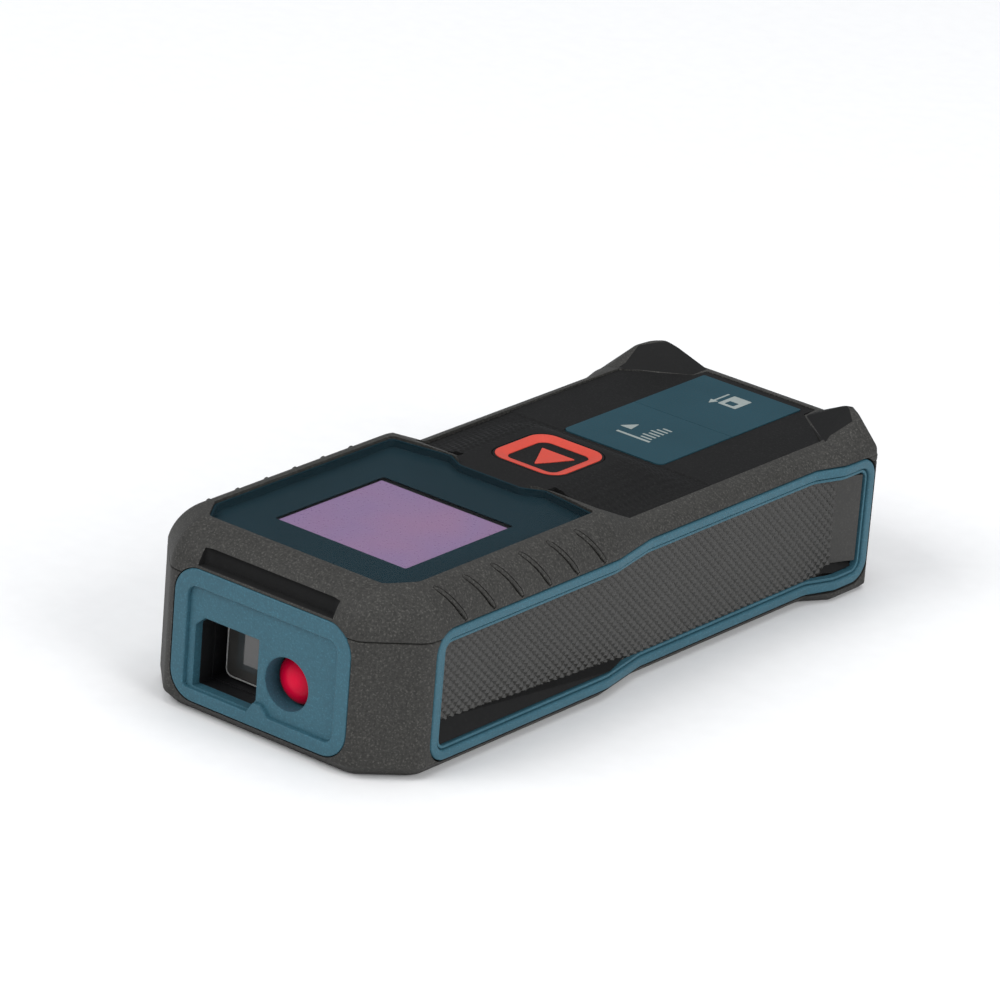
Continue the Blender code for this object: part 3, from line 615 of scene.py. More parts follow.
def circuit_board():
    """Green solder mask with raised tracks."""
    mat, tree, shader, place = surface("circuit_board", Coat_Weight=0.3)
    brick = tree.nodes.new("ShaderNodeTexBrick")
    brick.inputs["Scale"].default_value = 900.0
    brick.inputs["Color1"].default_value = (0.012, 0.090, 0.038, 1.0)
    brick.inputs["Color2"].default_value = (0.016, 0.120, 0.050, 1.0)
    brick.inputs["Mortar"].default_value = (0.035, 0.190, 0.080, 1.0)
    brick.inputs["Mortar Size"].default_value = 0.06
    link(tree, place, "Object", brick, "Vector")
    link(tree, brick, "Color", shader, "Base Color")
    fine = noise(tree, place, 0.6)
    uneven = spread(tree, fine, "Fac", 0.30, 0.50)
    link(tree, uneven, "Result", shader, "Roughness")
    bump(tree, shader, brick, "Fac", 0.03)
    return mat


SHELL = (0.036, 0.035, 0.032)
TEAL = (0.039, 0.118, 0.158)
FINISH = {
    "shell_plastic": moulded(
        "shell_plastic", SHELL, 0.34, 0.38, 0.66, 0.045, 0.9, Specular_IOR_Level=0.28
    ),
    "shell_smooth": moulded(
        "shell_smooth", (0.016, 0.016, 0.016), 0.5, 0.10, 0.70, 0.004, Specular_IOR_Level=0.08
    ),
    "grip_plastic": moulded(
        "grip_plastic",
        (0.0345, 0.0335, 0.031),
        0.30,
        0.20,
        0.48,
        0.012,
        0.3,
        Specular_IOR_Level=0.42,
    ),
    "teal_plastic": moulded(
        "teal_plastic", TEAL, 0.28, 0.10, 0.48, 0.010, 0.25, Specular_IOR_Level=0.25
    ),
    "label_teal": moulded(
        "label_teal", (0.018, 0.058, 0.078), 0.30, 0.12, 0.55, 0.008, Specular_IOR_Level=0.10
    ),
    "black_rubber": moulded(
        "black_rubber", (0.012, 0.012, 0.012), 0.26, 0.20, 0.66, 0.012, 0.5, Specular_IOR_Level=0.08
    ),
    "orange_plastic": moulded(
        "orange_plastic", (0.62, 0.066, 0.042), 0.30, 0.05, 0.45, 0.006, Specular_IOR_Level=0.25
    ),
    "icon_white": moulded(
        "icon_white", (0.30, 0.34, 0.33), 0.25, 0.06, 0.55, 0.004, Specular_IOR_Level=0.2
    ),
    "glass_print": moulded(
        "glass_print", (0.010, 0.028, 0.038), 0.30, 0.03, 0.60, 0.002, Specular_IOR_Level=0.05
    ),
    "display_glass": thin_glass(),
    "lcd_cell": lcd_glass(),
    "lcd_border": moulded(
        "lcd_border", (0.008, 0.008, 0.009), 0.4, 0.10, 0.45, 0.003, Specular_IOR_Level=0.10
    ),
    "light_plate": moulded("light_plate", (0.80, 0.79, 0.83), 0.5, 0.03, 0.40, 0.005),
    "white_plastic": moulded("white_plastic", (0.72, 0.72, 0.70), 0.4, 0.04, 0.50, 0.008),
    "zebra_rubber": moulded("zebra_rubber", (0.45, 0.40, 0.38), 0.2, 0.30, 0.60, 0.010),
    "spring_steel": metal("spring_steel", (0.62, 0.61, 0.58), 0.30, (1, 6, 1)),
    "circuit_board": circuit_board(),
    "chip_black": moulded("chip_black", (0.018, 0.018, 0.020), 0.3, 0.15, 0.50, 0.008),
    "carrier_black": moulded(
        "carrier_black", (0.012, 0.012, 0.013), 0.35, 0.15, 0.50, 0.010, Specular_IOR_Level=0.20
    ),
    "lens_clear": moulded(
        "lens_clear", (0.045, 0.043, 0.040), 2.0, 0.05, 0.10, 0.001, Coat_Weight=1.0
    ),
    "lens_edge": moulded("lens_edge", (0.50, 0.50, 0.48), 0.3, 0.15, 0.30, 0.005),
    "detector_can": metal("detector_can", (0.70, 0.66, 0.52), 0.30),
    "cable_film": moulded("cable_film", (0.50, 0.25, 0.05), 0.5, 0.08, 0.40, 0.005),
    "brass": metal("brass", (0.70, 0.52, 0.22), 0.25, (6, 1, 6)),
    "red_lens": painted_glow_red_lens(),
    "battery_jacket": metal("battery_jacket", (0.40, 0.41, 0.43), 0.32, (4, 1, 4)),
    "screw_steel": metal("screw_steel", (0.30, 0.30, 0.31), 0.32),
    "seal_rubber": moulded("seal_rubber", (0.020, 0.020, 0.021), 0.3, 0.10, 0.75, 0.010),
}


# ---------------------------------------------------------------- pieces


def shoulder(share):
    """How far in and up the shoulder's curve has come, share of the way to the rim."""
    straight = 0.35
    turn = math.pi / 2 * share
    inward = (1 - straight) * (1 - math.cos(turn)) + straight * share
    up = (1 - straight) * math.sin(turn) + straight * share
    return inward, up


def skin_rings(low_rings, steps):
    """Rings from the parting line over the shoulder to the rim, for the upper shell."""
    outer = rounded(HOUSING)
    rim = rounded(RIM)
    heights = [height for height in RIM_HEIGHTS + RIM_HEIGHTS[::-1] for _ in range(7)]
    rings = list(low_rings)
    for k in range(steps + 1):
        inward, up = shoulder(k / steps)
        ring = []
        for (x0, y0), (x1, y1), top in zip(outer, rim, heights):
            z = SHOULDER + (top - SHOULDER) * up
            ring.append((x0 + (x1 - x0) * inward, y0 + (y1 - y0) * inward, z))
        rings.append(ring)
    return rings


def bevel_point(side, y, share, proud):
    """A point on the head's side bevel, share of the way up, moved outwards by proud."""
    inward, up = shoulder(share)
    outward = Vector((0.76, 0.0, 0.65)) * proud
    x = SIDE - 4.3 * inward
    z = SHOULDER + 5.1 * up
    return (side * (x + outward.x), y, z + outward.z)


def rib_paths(proud, first, last):
    paths = []
    for side in (-1, 1):
        for k in range(6):
            upper = -42.2 + 5.5 * k
            path = []
            for step in range(9):
                share = step / 8
                height = first + (last - first) * share
                path.append(bevel_point(side, upper + 3.0 * share, height, proud))
            paths.append(path)
    return paths


def bumper(side):
    """A raised corner at the tail: its crest runs outwards from the tip and falls."""
    points = [
        (19.9, 35.4, 19.0),
        (SIDE, 39.6, 19.0),
        (SIDE, 46.2, 19.0),
        (15.5, 52.4, 19.0),
        (9.6, 52.4, 19.0),
        (21.5, 46.15, 20.2),
        (21.4, 39.8, 19.4),
        (17.2, 39.4, 21.2),
        (9.3, 46.0, 20.9),
        (9.4, 49.6, 20.9),
        (15.5, 47.7, 24.1),
        (17.4, 46.9, 23.6),
        (18.4, 44.9, 23.2),
        (20.8, 46.0, 21.1),
    ]
    return hull("bumper", [(side * x, y, z) for x, y, z in points], 0.35)


def front_pocket():
    low, high = 19.9, 21.9
    front, back = NOSE - 2.0, NOSE + 1.7
    points = []
    for x, depth in ((11.0, 0.0), (9.6, 0.6)):
        for side in (-1, 1):
            points.append((side * x, front, low))
            points.append((side * x, back + depth, high))
            points.append((side * x, back - 0.6 + depth, low))
            points.append((side * x, front, high + 1.2))
    return hull("front_pocket", points)


def side_cutter(margin, side):
    low, high = sorted((side * SIDE_WALL, side * 30.0))
    return plate("side_cutter", [trim_outline(margin)], low, high, "X")


def upper_case():
    outer = rounded(HOUSING)
    tucked = rounded(inset(HOUSING, 0.12))
    low = [
        [(x, y, PARTING + SEAM) for x, y in tucked],
        [(x, y, PARTING + SEAM + 0.12) for x, y in outer],
    ]
    shell = loft("upper_case", skin_rings(low, 12), True)
    join(shell, bumper(1), bumper(-1))
    cut(shell, tube("rib_grooves", rib_paths(0.10, 0.84, 0.06), 0.52, 0.6))
    join(shell, tube("ribs", rib_paths(-0.12, 0.82, 0.10), 0.29, 0.6))
    glass_seat = rounded(inset(GLASS, -0.06))
    keypad_seat = rounded(inset(KEYPAD, -0.08))
    notch = rectangle(-5.0, -9.4, 5.0, -7.0, 0.8)
    cut(
        shell,
        front_pocket(),
        plate("glass_seat", [glass_seat], 22.7, 30.0),
        plate("keypad_seat", [keypad_seat], 20.4, 30.0),
        plate("notch", [notch], 22.7, 30.0),
        plate("panel_seat", [panel_outline(0.10)], NOSE - 10, -50.3, "Y"),
        side_cutter(0.22, 1),
        side_cutter(0.22, -1),
        plate("head_room", [rectangle(-14.8, -44.6, 14.8, -10.5, 1.5)], 10.0, 30.0),
        *[cylinder("stem_way", (0, y), 1.9, 10.0, 21.0) for y in (MEASURE_Y, 23.3, 42.0)],
    )
    piece(
        shell,
        "housing",
        (FINISH["shell_plastic"], FINISH["shell_smooth"]),
        ("upper_shell",),
        30,
    )
    for face in shell.data.polygons:
        x, y, z = face.center / MM
        normal = face.normal
        pocket = y < -49.5 and abs(x) < 11.2 and 19.85 < z < 22.4
        sunk = normal.y < -0.94 or normal.z > 0.93 or abs(normal.x) > 0.25
        inner = y > 39.0 and z > 21.1 and normal.x * x < 0 and normal.y < 0.3
        if (pocket and sunk) or inner:
            face.material_index = 1
    return shell


def lower_case():
    steps = [
        (1.62, 0.0),
        (1.40, 0.10),
        (0.10, 1.40),
        (0.0, 1.62),
        (0.0, PARTING - SEAM - 0.12),
        (0.12, PARTING - SEAM),
    ]
    rings = []
    for margin, height in steps:
        ring = []
        for (x, y), (x1, y1) in zip(rounded(inset(HOUSING, margin)), rounded(HOUSING)):
            # The foot chamfer is smaller round the tail.
            share = 0.45 if y1 > 37.0 and height < 2 else 1.0
            ring.append((x1 + (x - x1) * share, y1 + (y - y1) * share, height * share))
        rings.append(ring)
    shell = loft("lower_case", rings)
    opening = rectangle(-11.45, -0.3, 11.45, 49.35, 0.3, 2)
    tools = [
        plate("cavity", [rounded(CAVITY, 2)], CAVITY_FLOOR, 30.0),
        side_cutter(0.22, 1),
        side_cutter(0.22, -1),
        plate("panel_seat", [panel_outline(0.10)], NOSE - 10, -50.3, "Y"),
        box("receiver_port", (-11.5, -55, 3.2), (-0.4, -40, 14.0)),
        cylinder("laser_port", (LASER_X, AXIS_Z), 3.8, -55, -40, "Y"),
    ]
    cut(shell, *tools)
    for x, y in SCREWS:
        join(shell, cylinder("boss", (x, y), 1.6, 1.0, 15.5))
    join(shell, box("battery_wall", (-12.0, -3.4, 1.0), (12.0, -1.6, 14.6)))
    tools = [plate("door_opening", [opening], -10, 3.2)]
    tools.append(cylinder("trunnion_holes", (1.0, 1.0), 0.6, -12.7, 12.7, "X", 24))
    for x, y in SCREWS:
        tools.append(cylinder("way", (x, y), 0.9, -10, 30, "Z", 24))
        tools.append(cylinder("sink", (x, y), 1.5, -10, 1.8, "Z", 32))
    cut(shell, *tools)
    return piece(
        shell, "housing", FINISH["shell_plastic"], ("lower_shell",), 30
    )


def nose_cover():
    """The teal panel: a raised border, a recess with an S-shaped step and two openings."""
    step = [
        (-12.2, 3.3, 0.5),
        (-1.7, 3.3, 0.2),
        (-0.7, 4.8, 0.3),
        (0.6, 4.8, 0.7),
        (1.8, 3.5, 0.7),
        (12.2, 3.5, 1.4),
        (12.2, 17.1, 1.4),
        (-12.2, 17.1, 1.4),
    ]
    border = plate(
        "nose_cover", [panel_outline(0.0), rounded(step, 6)], NOSE, NOSE + 1.4, "Y", 0.22, 3
    )
    openings = [window_outline(0.12), circle(LASER_X, AXIS_Z, LASER_HOLE + 0.12, 72)]
    floor = plate("floor", [panel_outline(-0.1), *openings], -51.9, -50.6, "Y", 0.06, 2)
    window = plate("window", [window_outline(0.22), window_outline(0.0)], -51.86, -50.5, "Y", 0.05)
    ring = [circle(LASER_X, AXIS_Z, LASER_HOLE + radius, 72) for radius in (0.3, 0.0)]
    sleeve = plate("sleeve", ring, -51.86, -48.5, "Y", 0.08)
    join(border, floor, window, sleeve)
    liner = [window_outline(0.24), window_outline(0.04)]
    liner = plate("window_liner", liner, -50.45, -47.4, "Y", 0.04)
    piece(liner, "housing", FINISH["carrier_black"])
    return piece(border, "housing", FINISH["teal_plastic"], ("nose_panel",), 40)


def side_profile(y):
    """How far the housing's side stands out at a place along it."""
    right = [(x, at) for x, at in rounded(HOUSING) if x > 0]
    for (x0, y0), (x1, y1) in zip(right, right[1:]):
        if y0 <= y <= y1 and y1 > y0:
            return x0 + (x1 - x0) * (y - y0) / (y1 - y0)
    return SIDE


def trim_face(y):
    return side_profile(min(max(y, -44.6), 46.0))


def side_frame(name, profile, side):
    """A frame round the grip that follows the side, swept from a profile of (margin, x)."""
    rings = []
    for margin, x in profile:
        share = min((x - TRIM_ROOT) / 1.2, 1.0)
        ring = []
        for y, z in trim_outline(margin):
            ring.append((side * (x - (SIDE - trim_face(y)) * share), y, z))
        rings.append(ring)
    bm = bmesh.new()
    skin(bm, rings, True)
    return from_bmesh(name, bm)


def side_trim(side, label):
    """The teal frame: a band along the housing's side, a groove, and a lower lip inside it."""
    inner = -TRIM_BAND
    corners = [
        (0.0, 20.3, 0.05),
        (0.0, SIDE, 0.28),
        (-1.30, SIDE, 0.28),
        (-1.30, 20.95, 0.05),
        (-1.46, 20.95, 0.05),
        (-1.46, 21.3, 0.08),
        (inner, 21.3, 0.08),
        (inner, 20.3, 0.05),
    ]
    band = side_frame(f"trim_{label}", rounded(corners, 3), side)
    piece(band, "housing", FINISH["teal_plastic"], (f"side_trim_{label}",), 40)
    inner += 0.06
    corners = [(-0.1, TRIM_ROOT), (-0.1, 20.25), (inner, 20.25), (inner, TRIM_ROOT)]
    liner = side_frame(f"trim_liner_{label}", corners, side)
    return piece(liner, "housing", FINISH["shell_smooth"])


def knurled(side, label):
    """The grip: rows of small blunt pyramids on a plate."""
    pitch = (0.685, 0.635)
    height = 0.21
    blunt = 0.26
    y0, z0, y1, z1 = TRIM[0] + 1.0, TRIM[1] + 1.0, TRIM[2] - 1.0, TRIM[3] - 1.0
    across = round((y1 - y0) / pitch[0])
    up = round((z1 - z0) / pitch[1])
    wide, tall = (y1 - y0) / across, (z1 - z0) / up
    base, top = side * (GRIP_FACE - 0.10), side * (GRIP_FACE - 0.10 + height)
    bm = bmesh.new()
    nodes = {}
    for i in range(across + 1):
        for j in range(up + 1):
            inner = 0 < i < across and 0 < j < up
            if (i + j) % 2 == 0 or not inner:
                nodes[i, j] = bm.verts.new((base, y0 + wide * i, z0 + tall * j))
    for i in range(1, across):
        for j in range(1, up):
            if (i + j) % 2 == 0:
                continue
            foot = [nodes[i - 1, j], nodes[i, j - 1], nodes[i + 1, j], nodes[i, j + 1]]
            y, z = y0 + wide * i, z0 + tall * j
            head = []
            for vert in foot:
                tip = Vector((y, z)).lerp(Vector(vert.co.yz), blunt)
                head.append(bm.verts.new((top, *tip)))
            for k in range(4):
                m = (k + 1) % 4
                bm.faces.new((foot[k], foot[m], head[m], head[k]))
            bm.faces.new(head)
    open_edges = [edge for edge in bm.edges if len(edge.link_faces) == 1]
    border = [(i, 0) for i in range(across)]
    border += [(across, j) for j in range(up)]
    border += [(i, up) for i in range(across, 0, -1)]
    border += [(0, j) for j in range(up, 0, -1)]
    rim = [nodes[place] for place in border]
    joined = {frozenset(edge.verts) for edge in open_edges}
    for k, (i, j) in enumerate(border):
        first, last = rim[k], rim[(k + 1) % len(rim)]
        if frozenset((first, last)) in joined:
            continue
        near = [(i + di, j + dj) for di in (-1, 0, 1) for dj in (-1, 0, 1)]
        for place in near:
            third = nodes.get(place)
            if third in (None, first, last) or third in rim:
                continue
            sides = (frozenset((first, third)), frozenset((last, third)))
            if all(each in joined for each in sides):
                bm.faces.new((first, last, third))
                break
    back = [bm.verts.new((side * 17.7, vert.co.y, vert.co.z)) for vert in rim]
    for k in range(len(rim)):
        m = (k + 1) % len(rim)
        bm.faces.new((rim[k], rim[m], back[m], back[k]))
    bm.faces.new(back)
    bmesh.ops.holes_fill(bm, edges=bm.edges, sides=8)
    bmesh.ops.triangulate(bm, faces=[face for face in bm.faces if len(face.verts) > 4])
    grip = from_bmesh(f"grip_{label}", bm)
    low, high = sorted((side * 17.6, side * 21.0))
    edge = plate("grip_edge", [trim_outline(-TRIM_BAND - 0.03)], low, high, "X")
    combine(grip, [edge], "INTERSECT")
    return piece(
        grip, "housing", FINISH["grip_plastic"], (f"grip_panel_{label}",), 8
    )


def grip_ledge(side, label):
    """The smooth slanted shelf under the grip in the head, and the slanted wall at the tail."""
    nose, waist = TRIM[0] + 2.1, -3.0
    low, root = TRIM[1] + 2.05, GRIP_FACE - 0.15
    ledge = [
        (root, nose, low),
        (root, nose, 6.0),
        (21.1, nose, low),
        (21.1, -8.0, low),
        (root, waist, low),
        (root, waist, low + 0.25),
    ]
    tail, top = TRIM[2] - 2.1, TRIM[3] - 2.1
    end = []
    for z in (low + 0.9, top - 0.25):
        end.append((root, 40.1, z))
        end.append((root, tail, z))
        end.append((21.1, tail, z))
    foot = []
    for y in (40.0, tail):
        foot.append((root, y - 2.0, low))
        foot.append((root, y, low))
        foot.append((root, y, low + 1.0))
        foot.append((20.6, y, low))
    shelf = hull(f"ledge_{label}", [(side * x, y, z) for x, y, z in ledge], 0.12)
    wall = hull(f"grip_end_{label}", [(side * x, y, z) for x, y, z in end], 0.12)
    sill = hull("sill", [(side * x, y, z) for x, y, z in foot], 0.10)
    join(shelf, sill)
    piece(wall, "housing", FINISH["grip_plastic"])
    return piece(shelf, "housing", FINISH["shell_smooth"])


def display():
    """The clear pane, the print under it and the display's lit area with its black border."""
    clear = rounded(inset(GLASS, 0.30))
    pane = plate("glass_pane", [clear], GLASS_TOP - 0.95, GLASS_TOP, "Z", 0.06, 2)
    piece(pane, "housing", FINISH["display_glass"], ("display_window",))
    hole = rectangle(-10.3, -38.9, 11.1, -17.8, 0.3)
    mask = plate("glass_print", [rounded(inset(GLASS, 0.12)), hole], 22.80, PRINT_TOP)
    rim = [rounded(inset(GLASS, -0.02)), rounded(inset(GLASS, 0.27))]
    join(mask, plate("print_rim", rim, 22.84, GLASS_TOP - 0.03, "Z", 0.04))
    piece(mask, "housing", FINISH["glass_print"])
    border = plate("lcd_border", [rectangle(-13.8, -42.8, 13.8, -12.7, 0.3)], 22.52, 22.62)
    piece(border, "housing", FINISH["lcd_border"])
    lit = plate("lcd_area", [rectangle(-10.0, -40.0, 11.6, -18.5, 0.1)], 22.60, 22.66)
    piece(lit, "housing", FINISH["lcd_cell"])


def fall(distance, start, reach):
    """1 up to start, then falling smoothly to 0 over reach."""
    t = min(max((distance - start) / reach, 0.0), 1.0)
    return 1 - t * t * (3 - 2 * t)


def mat_height(x, y):
    """Top of the silicone keypad: a plateau round the measuring button, then a flat."""
    lengthwise = fall(y, 9.0, 7.5)
    spread_out = fall(abs(x), 7.6, 9.4)
    rising = fall(y, -7.2, 6.0)
    height = KEYPAD_FLAT + (PLATEAU - KEYPAD_FLAT) * max(lengthwise * spread_out, rising)
    return height - 0.30 * (1 - fall(y, 46.6, 1.2))


def mat_grain(x, y):
    """Fine crossed ribs on both sides of the measuring button."""
    if y > 16.2 or y < -6.0:
        return 0.0
    strength = 1 - fall(max(abs(x), abs(y - MEASURE_Y) * 0.7), 7.0, 0.8)
    along = math.cos(2 * math.pi * x / 1.25) - 1
    across = math.cos(2 * math.pi * y / 1.03) - 1
    return strength * (0.060 * along + 0.045 * across)


def keypad():
    """The silicone mat with its openings."""
    xs = [1.25 / 7 * k for k in range(-98, 99)]
    ys = [-9.6 + 1.03 / 7 * k for k in range(177)] + [16.5 + 2.34 * k for k in range(15)]
    bm = bmesh.new()
    rows = []
    for y in ys:
        rows.append([bm.verts.new((x, y, mat_height(x, y) + mat_grain(x, y))) for x in xs])
    for lower, upper in zip(rows, rows[1:]):
        for i in range(len(xs) - 1):
            bm.faces.new((lower[i], lower[i + 1], upper[i + 1], upper[i]))
    rim = rows[0] + [row[-1] for row in rows[1:-1]] + rows[-1][::-1]
    rim += [row[0] for row in rows[-2:0:-1]]
    under = [bm.verts.new((vert.co.x, vert.co.y, 20.6)) for vert in rim]
    for k in range(len(rim)):
        m = (k + 1) % len(rim)
        bm.faces.new((rim[k], rim[m], under[m], under[k]))
    bm.faces.new(under)
    bmesh.ops.triangulate(bm, faces=bm.faces)
    mat = from_bmesh("keypad", bm)
    outline = plate("keypad_outline", [rounded(KEYPAD)], 15.0, 30.0)
    combine(mat, [outline], "INTERSECT")
    label = rectangle(
        -LABEL_HALF - 0.06, LABEL_NOSE - 0.06, LABEL_HALF + 0.06, LABEL_TAIL + 0.06, 0.9
    )
    cut(
        mat,
        plate("measure_opening", [measure_outline(0.42)], 15.0, 30.0),
        plate("label_opening", [label], 15.0, 30.0),
    )
    return piece(mat, "housing", FINISH["black_rubber"], ("keypad_mat",), 50)


RING_HIGH, RING_DROP, RING_WIDE = 23.80, 0.44, 1.60


def dish(x, y):
    """Height of the measuring button's face: a bowl that falls from the ring's outer edge."""
    along = abs(x) - MEASURE_HALF + MEASURE_ROUND
    across = abs(y - MEASURE_Y) - MEASURE_HALF + MEASURE_ROUND
    reach = math.hypot(max(along, 0.0), max(across, 0.0)) + min(max(along, across), 0.0)
    inside = MEASURE_ROUND - reach
    return RING_HIGH - RING_DROP * (1 - fall(inside, 0.0, 2.2)) - 0.02 * max(inside, 0.0)


def draped(obj, surface_height, flat):
    """Lays a flat piece, drawn with its top at a height, on a curved face."""
    for vertex in obj.data.vertices:
        if vertex.co.z > flat - 1.0:
            vertex.co.z += surface_height(vertex.co.x, vertex.co.y) - flat
    return obj


def gridded(outlines, low, high, step, name):
    """A plate whose top and bottom are cut into small squares, so that it can bend."""
    flat = plate(name, outlines, low, high, "Z", 0.05, 1)
    bm = bmesh.new()
    bm.from_mesh(flat.data)
    for axis, reach in ((0, 8.0), (1, 8.0)):
        count = int(2 * reach / step)
        for k in range(1, count):
            normal = Vector((1.0 - axis, axis, 0.0))
            place = normal * (-reach + k * step + (MEASURE_Y if axis else 0.0))
            geom = list(bm.verts) + list(bm.edges) + list(bm.faces)
            bmesh.ops.bisect_plane(bm, geom=geom, dist=1e-4, plane_co=place, plane_no=normal)
    bm.to_mesh(flat.data)
    bm.free()
    return flat


def arrow_outline():
    return dense(rounded([(0.05, -0.05, 0.12), (2.75, 5.05, 0.12), (-2.75, 5.05, 0.12)], 3), 0.5)


def measure():
    """The measuring button: a black bowl with an orange ring and an orange arrow."""
    cap = gridded([measure_outline(0.30)], 21.4, 23.0, 0.5, "measure_cap")
    draped(cap, lambda x, y: dish(x, y) - 0.10, 23.0)
    stem = cylinder("stem", (0, MEASURE_Y), 1.5, 18.7, 22.5)
    join(cap, stem)
    piece(cap, "measure_button", FINISH["black_rubber"], ("measure_button",))
    ring = gridded(
        [measure_outline(0.0), measure_outline(-RING_WIDE)], 22.6, 23.0, 0.5, "measure_band"
    )
    draped(ring, dish, 23.0)
    piece(ring, "measure_button", FINISH["orange_plastic"], ("measure_ring",))
    arrow = gridded([arrow_outline()], 22.7, 23.0, 0.5, "measure_sign")
    draped(arrow, lambda x, y: dish(x, y) + 0.02, 23.0)
    piece(arrow, "measure_button", FINISH["orange_plastic"], ("measure_arrow",))


def label(name, node, y, nose, tail, corners):
    outline = rounded(
        [
            (-LABEL_HALF, nose, corners[0]),
            (LABEL_HALF, nose, corners[0]),
            (LABEL_HALF, tail, corners[1]),
            (-LABEL_HALF, tail, corners[1]),
        ]
    )
    key = plate(name, [outline], 20.9, KEYPAD_FLAT + 0.12, "Z", 0.04, 1)
    join(key, cylinder("stem", (0, y), 1.5, 18.7, 21.0))
    piece(key, node, FINISH["label_teal"], (node,))


def icon(name, node, outlines, centre, size, shift=(0.0, 0.0)):
    """A printed sign on a label: a thin layer of pale ink."""
    low = KEYPAD_FLAT + 0.08
    signs = []
    for k, outline in enumerate(outlines):
        placed = []
        for x, y in outline:
            placed.append(
                (
                    centre[0] + (x - centre[0]) * size + shift[0],
                    centre[1] + (y - centre[1]) * size + shift[1],
                )
            )
        signs.append(plate(f"{name}_{k}", [placed], low, low + 0.07))
    first = signs[0]
    if len(signs) > 1:
        join(first, *signs[1:])
    first.name = name
    piece(first, node, FINISH["icon_white"])


def labels():
    middle = LABEL_SPLIT
    label("function_key", "function_button", 23.3, LABEL_NOSE, middle - 0.02, (1.0, 0.03))
    label("reference_key", "reference_button", 42.0, middle + 0.02, LABEL_TAIL, (0.03, 0.3))
    bars = [rectangle(-3.6, 20.9, 2.8, 21.45, 0.1, 2)]
    for k, length in enumerate((1.5, 1.9, 1.5, 1.9, 1.5, 1.1)):
        y = 22.0 + k
        bars.append(rectangle(1.8 - length, y, 2.4, y + 0.40, 0.1, 2))
    wedge = rounded([(-4.6, 23.2, 0.1), (-2.4, 23.2, 0.1), (-2.8, 25.8, 0.1)], 2)
    icon("function_sign", "function_button", bars + [wedge], (-0.9, 23.8), 0.86)
    device = [rectangle(-1.9, 40.0, 2.0, 45.0, 0.2, 3)]
    pointer = [rectangle(-3.3, 40.6, -2.9, 45.0, 0.05, 2)]
    head = [rounded([(-3.1, 38.9, 0.05), (-2.3, 40.7, 0.05), (-3.9, 40.7, 0.05)], 2)]
    signs = device + pointer + head
    icon("reference_sign", "reference_button", signs, (-0.6, 42.1), 0.75, (1.0, -0.6))
    screen = plate("reference_screen", [rectangle(0.18, 40.52, 1.60, 41.72, 0.1, 2)], 21.32, 21.38)
    piece(screen, "reference_button", FINISH["label_teal"])


def optics():
    """The red filter and the receiving lens behind the nose panel."""
    dome = []
    for k in range(13):
        turn = math.pi / 2 * k / 12
        dome.append((3.3 * math.sin(turn), -1.0 - 1.6 * math.cos(turn)))
    profile = [*dome, (3.3, 0.0), (0.0, 0.0)]
    lens = turned("laser_dome", profile, (LASER_X, -48.0, AXIS_Z), "Y")
    piece(lens, "housing", FINISH["red_lens"], ("laser_window",))
    glass = [rectangle(-9.8, 4.1, -1.3, 13.2, 0.9)]
    glass = plate("receiver_glass", glass, -47.0, -44.0, "Y", 0.15, 3)
    piece(glass, "housing", FINISH["lens_clear"], ("receiver_lens",))
    hoop = [rectangle(-10.05, 3.85, -1.2, 13.4, 1.1), rectangle(-9.7, 4.2, -1.4, 13.1, 0.9)]
    edge = plate("receiver_edge", hoop, -46.9, -46.2, "Y", 0.10, 2)
    piece(edge, "housing", FINISH["lens_edge"])


def finish_nodes():
    """Gives each CAD node that still shows its detailed finish."""
    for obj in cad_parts.values():
        for each in obj.material_slots:
            name = each.material.name.split(".")[0] if each.material else "shell_plastic"
            each.material = FINISH.get(name, FINISH["shell_plastic"])
        if not obj.hide_render:
            obj.data.shade_smooth()
            obj.data.set_sharp_from_angle(angle=math.radians(30))


# ---------------------------------------------------------------- studio


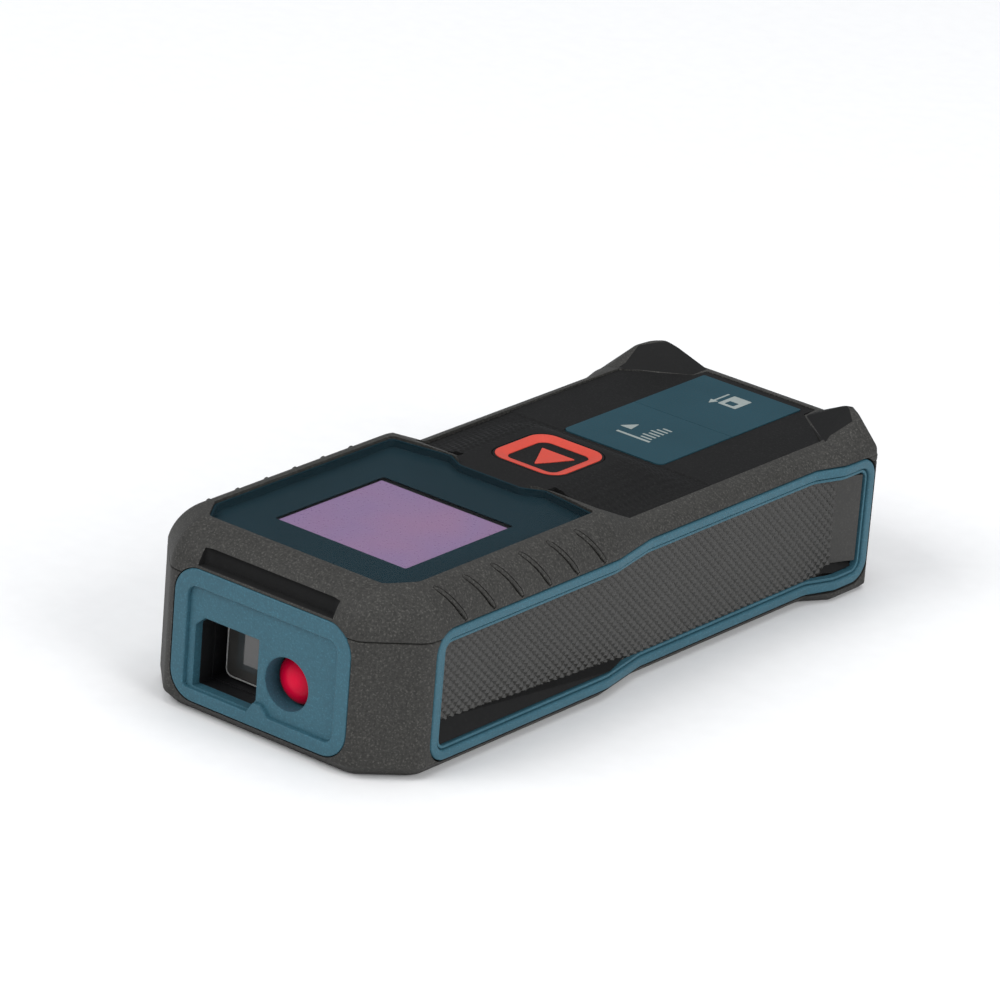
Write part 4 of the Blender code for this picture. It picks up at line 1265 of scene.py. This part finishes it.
def area_light(name, place, aim, size, power, colour=(1.0, 1.0, 1.0)):
    data = bpy.data.lights.new(name, "AREA")
    data.shape = "RECTANGLE"
    data.size, data.size_y = size
    data.energy = power
    data.color = colour
    lamp = bpy.data.objects.new(name, data)
    lamp.location = place
    lamp.rotation_euler = (Vector(aim) - Vector(place)).to_track_quat("-Z", "Y").to_euler()
    bpy.context.scene.collection.objects.link(lamp)


def studio():
    mat, tree, shader, place = surface("floor_paper", Roughness=0.9)
    paper = noise(tree, place, 3.0, 4.0)
    tone = ramp(tree, paper, "Fac", [(0.3, (0.925, 0.925, 0.925)), (0.7, (0.945, 0.945, 0.945))])
    link(tree, tone, "Color", shader, "Base Color")
    bm = bmesh.new()
    bmesh.ops.create_grid(bm, x_segments=8, y_segments=8, size=4.0)
    bmesh.ops.translate(bm, vec=(0, 0, -0.0001), verts=bm.verts)
    floor = from_bmesh("floor", bm)
    floor.data.materials.append(mat)
    world = bpy.data.worlds.new("studio")
    world.use_nodes = True
    sky = world.node_tree.nodes["Background"]
    sky.inputs["Color"].default_value = (0.92, 0.95, 1.0, 1.0)
    sky.inputs["Strength"].default_value = 0.40
    bpy.context.scene.world = world
    area_light("key", (-0.5, -0.9, 1.0), (0, 0, 0), (0.9, 0.9), 10.0)
    area_light("fill", (1.1, -0.1, 0.6), (0, 0, 0), (0.8, 0.8), 8.0)
    area_light("top", (0.0, 0.3, 1.4), (0, 0, 0), (1.2, 1.2), 7.0)
    bpy.context.scene.view_settings.view_transform = "Standard"


def camera():
    """The camera stands at the nose end's right, looks down a little and leans slightly."""
    data = bpy.data.cameras.new("camera")
    data.lens = 230.6
    data.sensor_width = 36.0
    data.clip_start = 0.01
    view = bpy.data.objects.new("camera", data)
    view.location = (0.462886, -0.609414, 0.327143)
    view.rotation_euler = [math.radians(turn) for turn in (67.925, -4.327, 39.270)]
    bpy.context.scene.collection.objects.link(view)
    bpy.context.scene.camera = view


camera()
studio()
upper_case()
lower_case()
nose_cover()
for side, label_name in ((-1, "left"), (1, "right")):
    side_trim(side, label_name)
    knurled(side, label_name)
    grip_ledge(side, label_name)
display()
keypad()
measure()
labels()
optics()
finish_nodes()
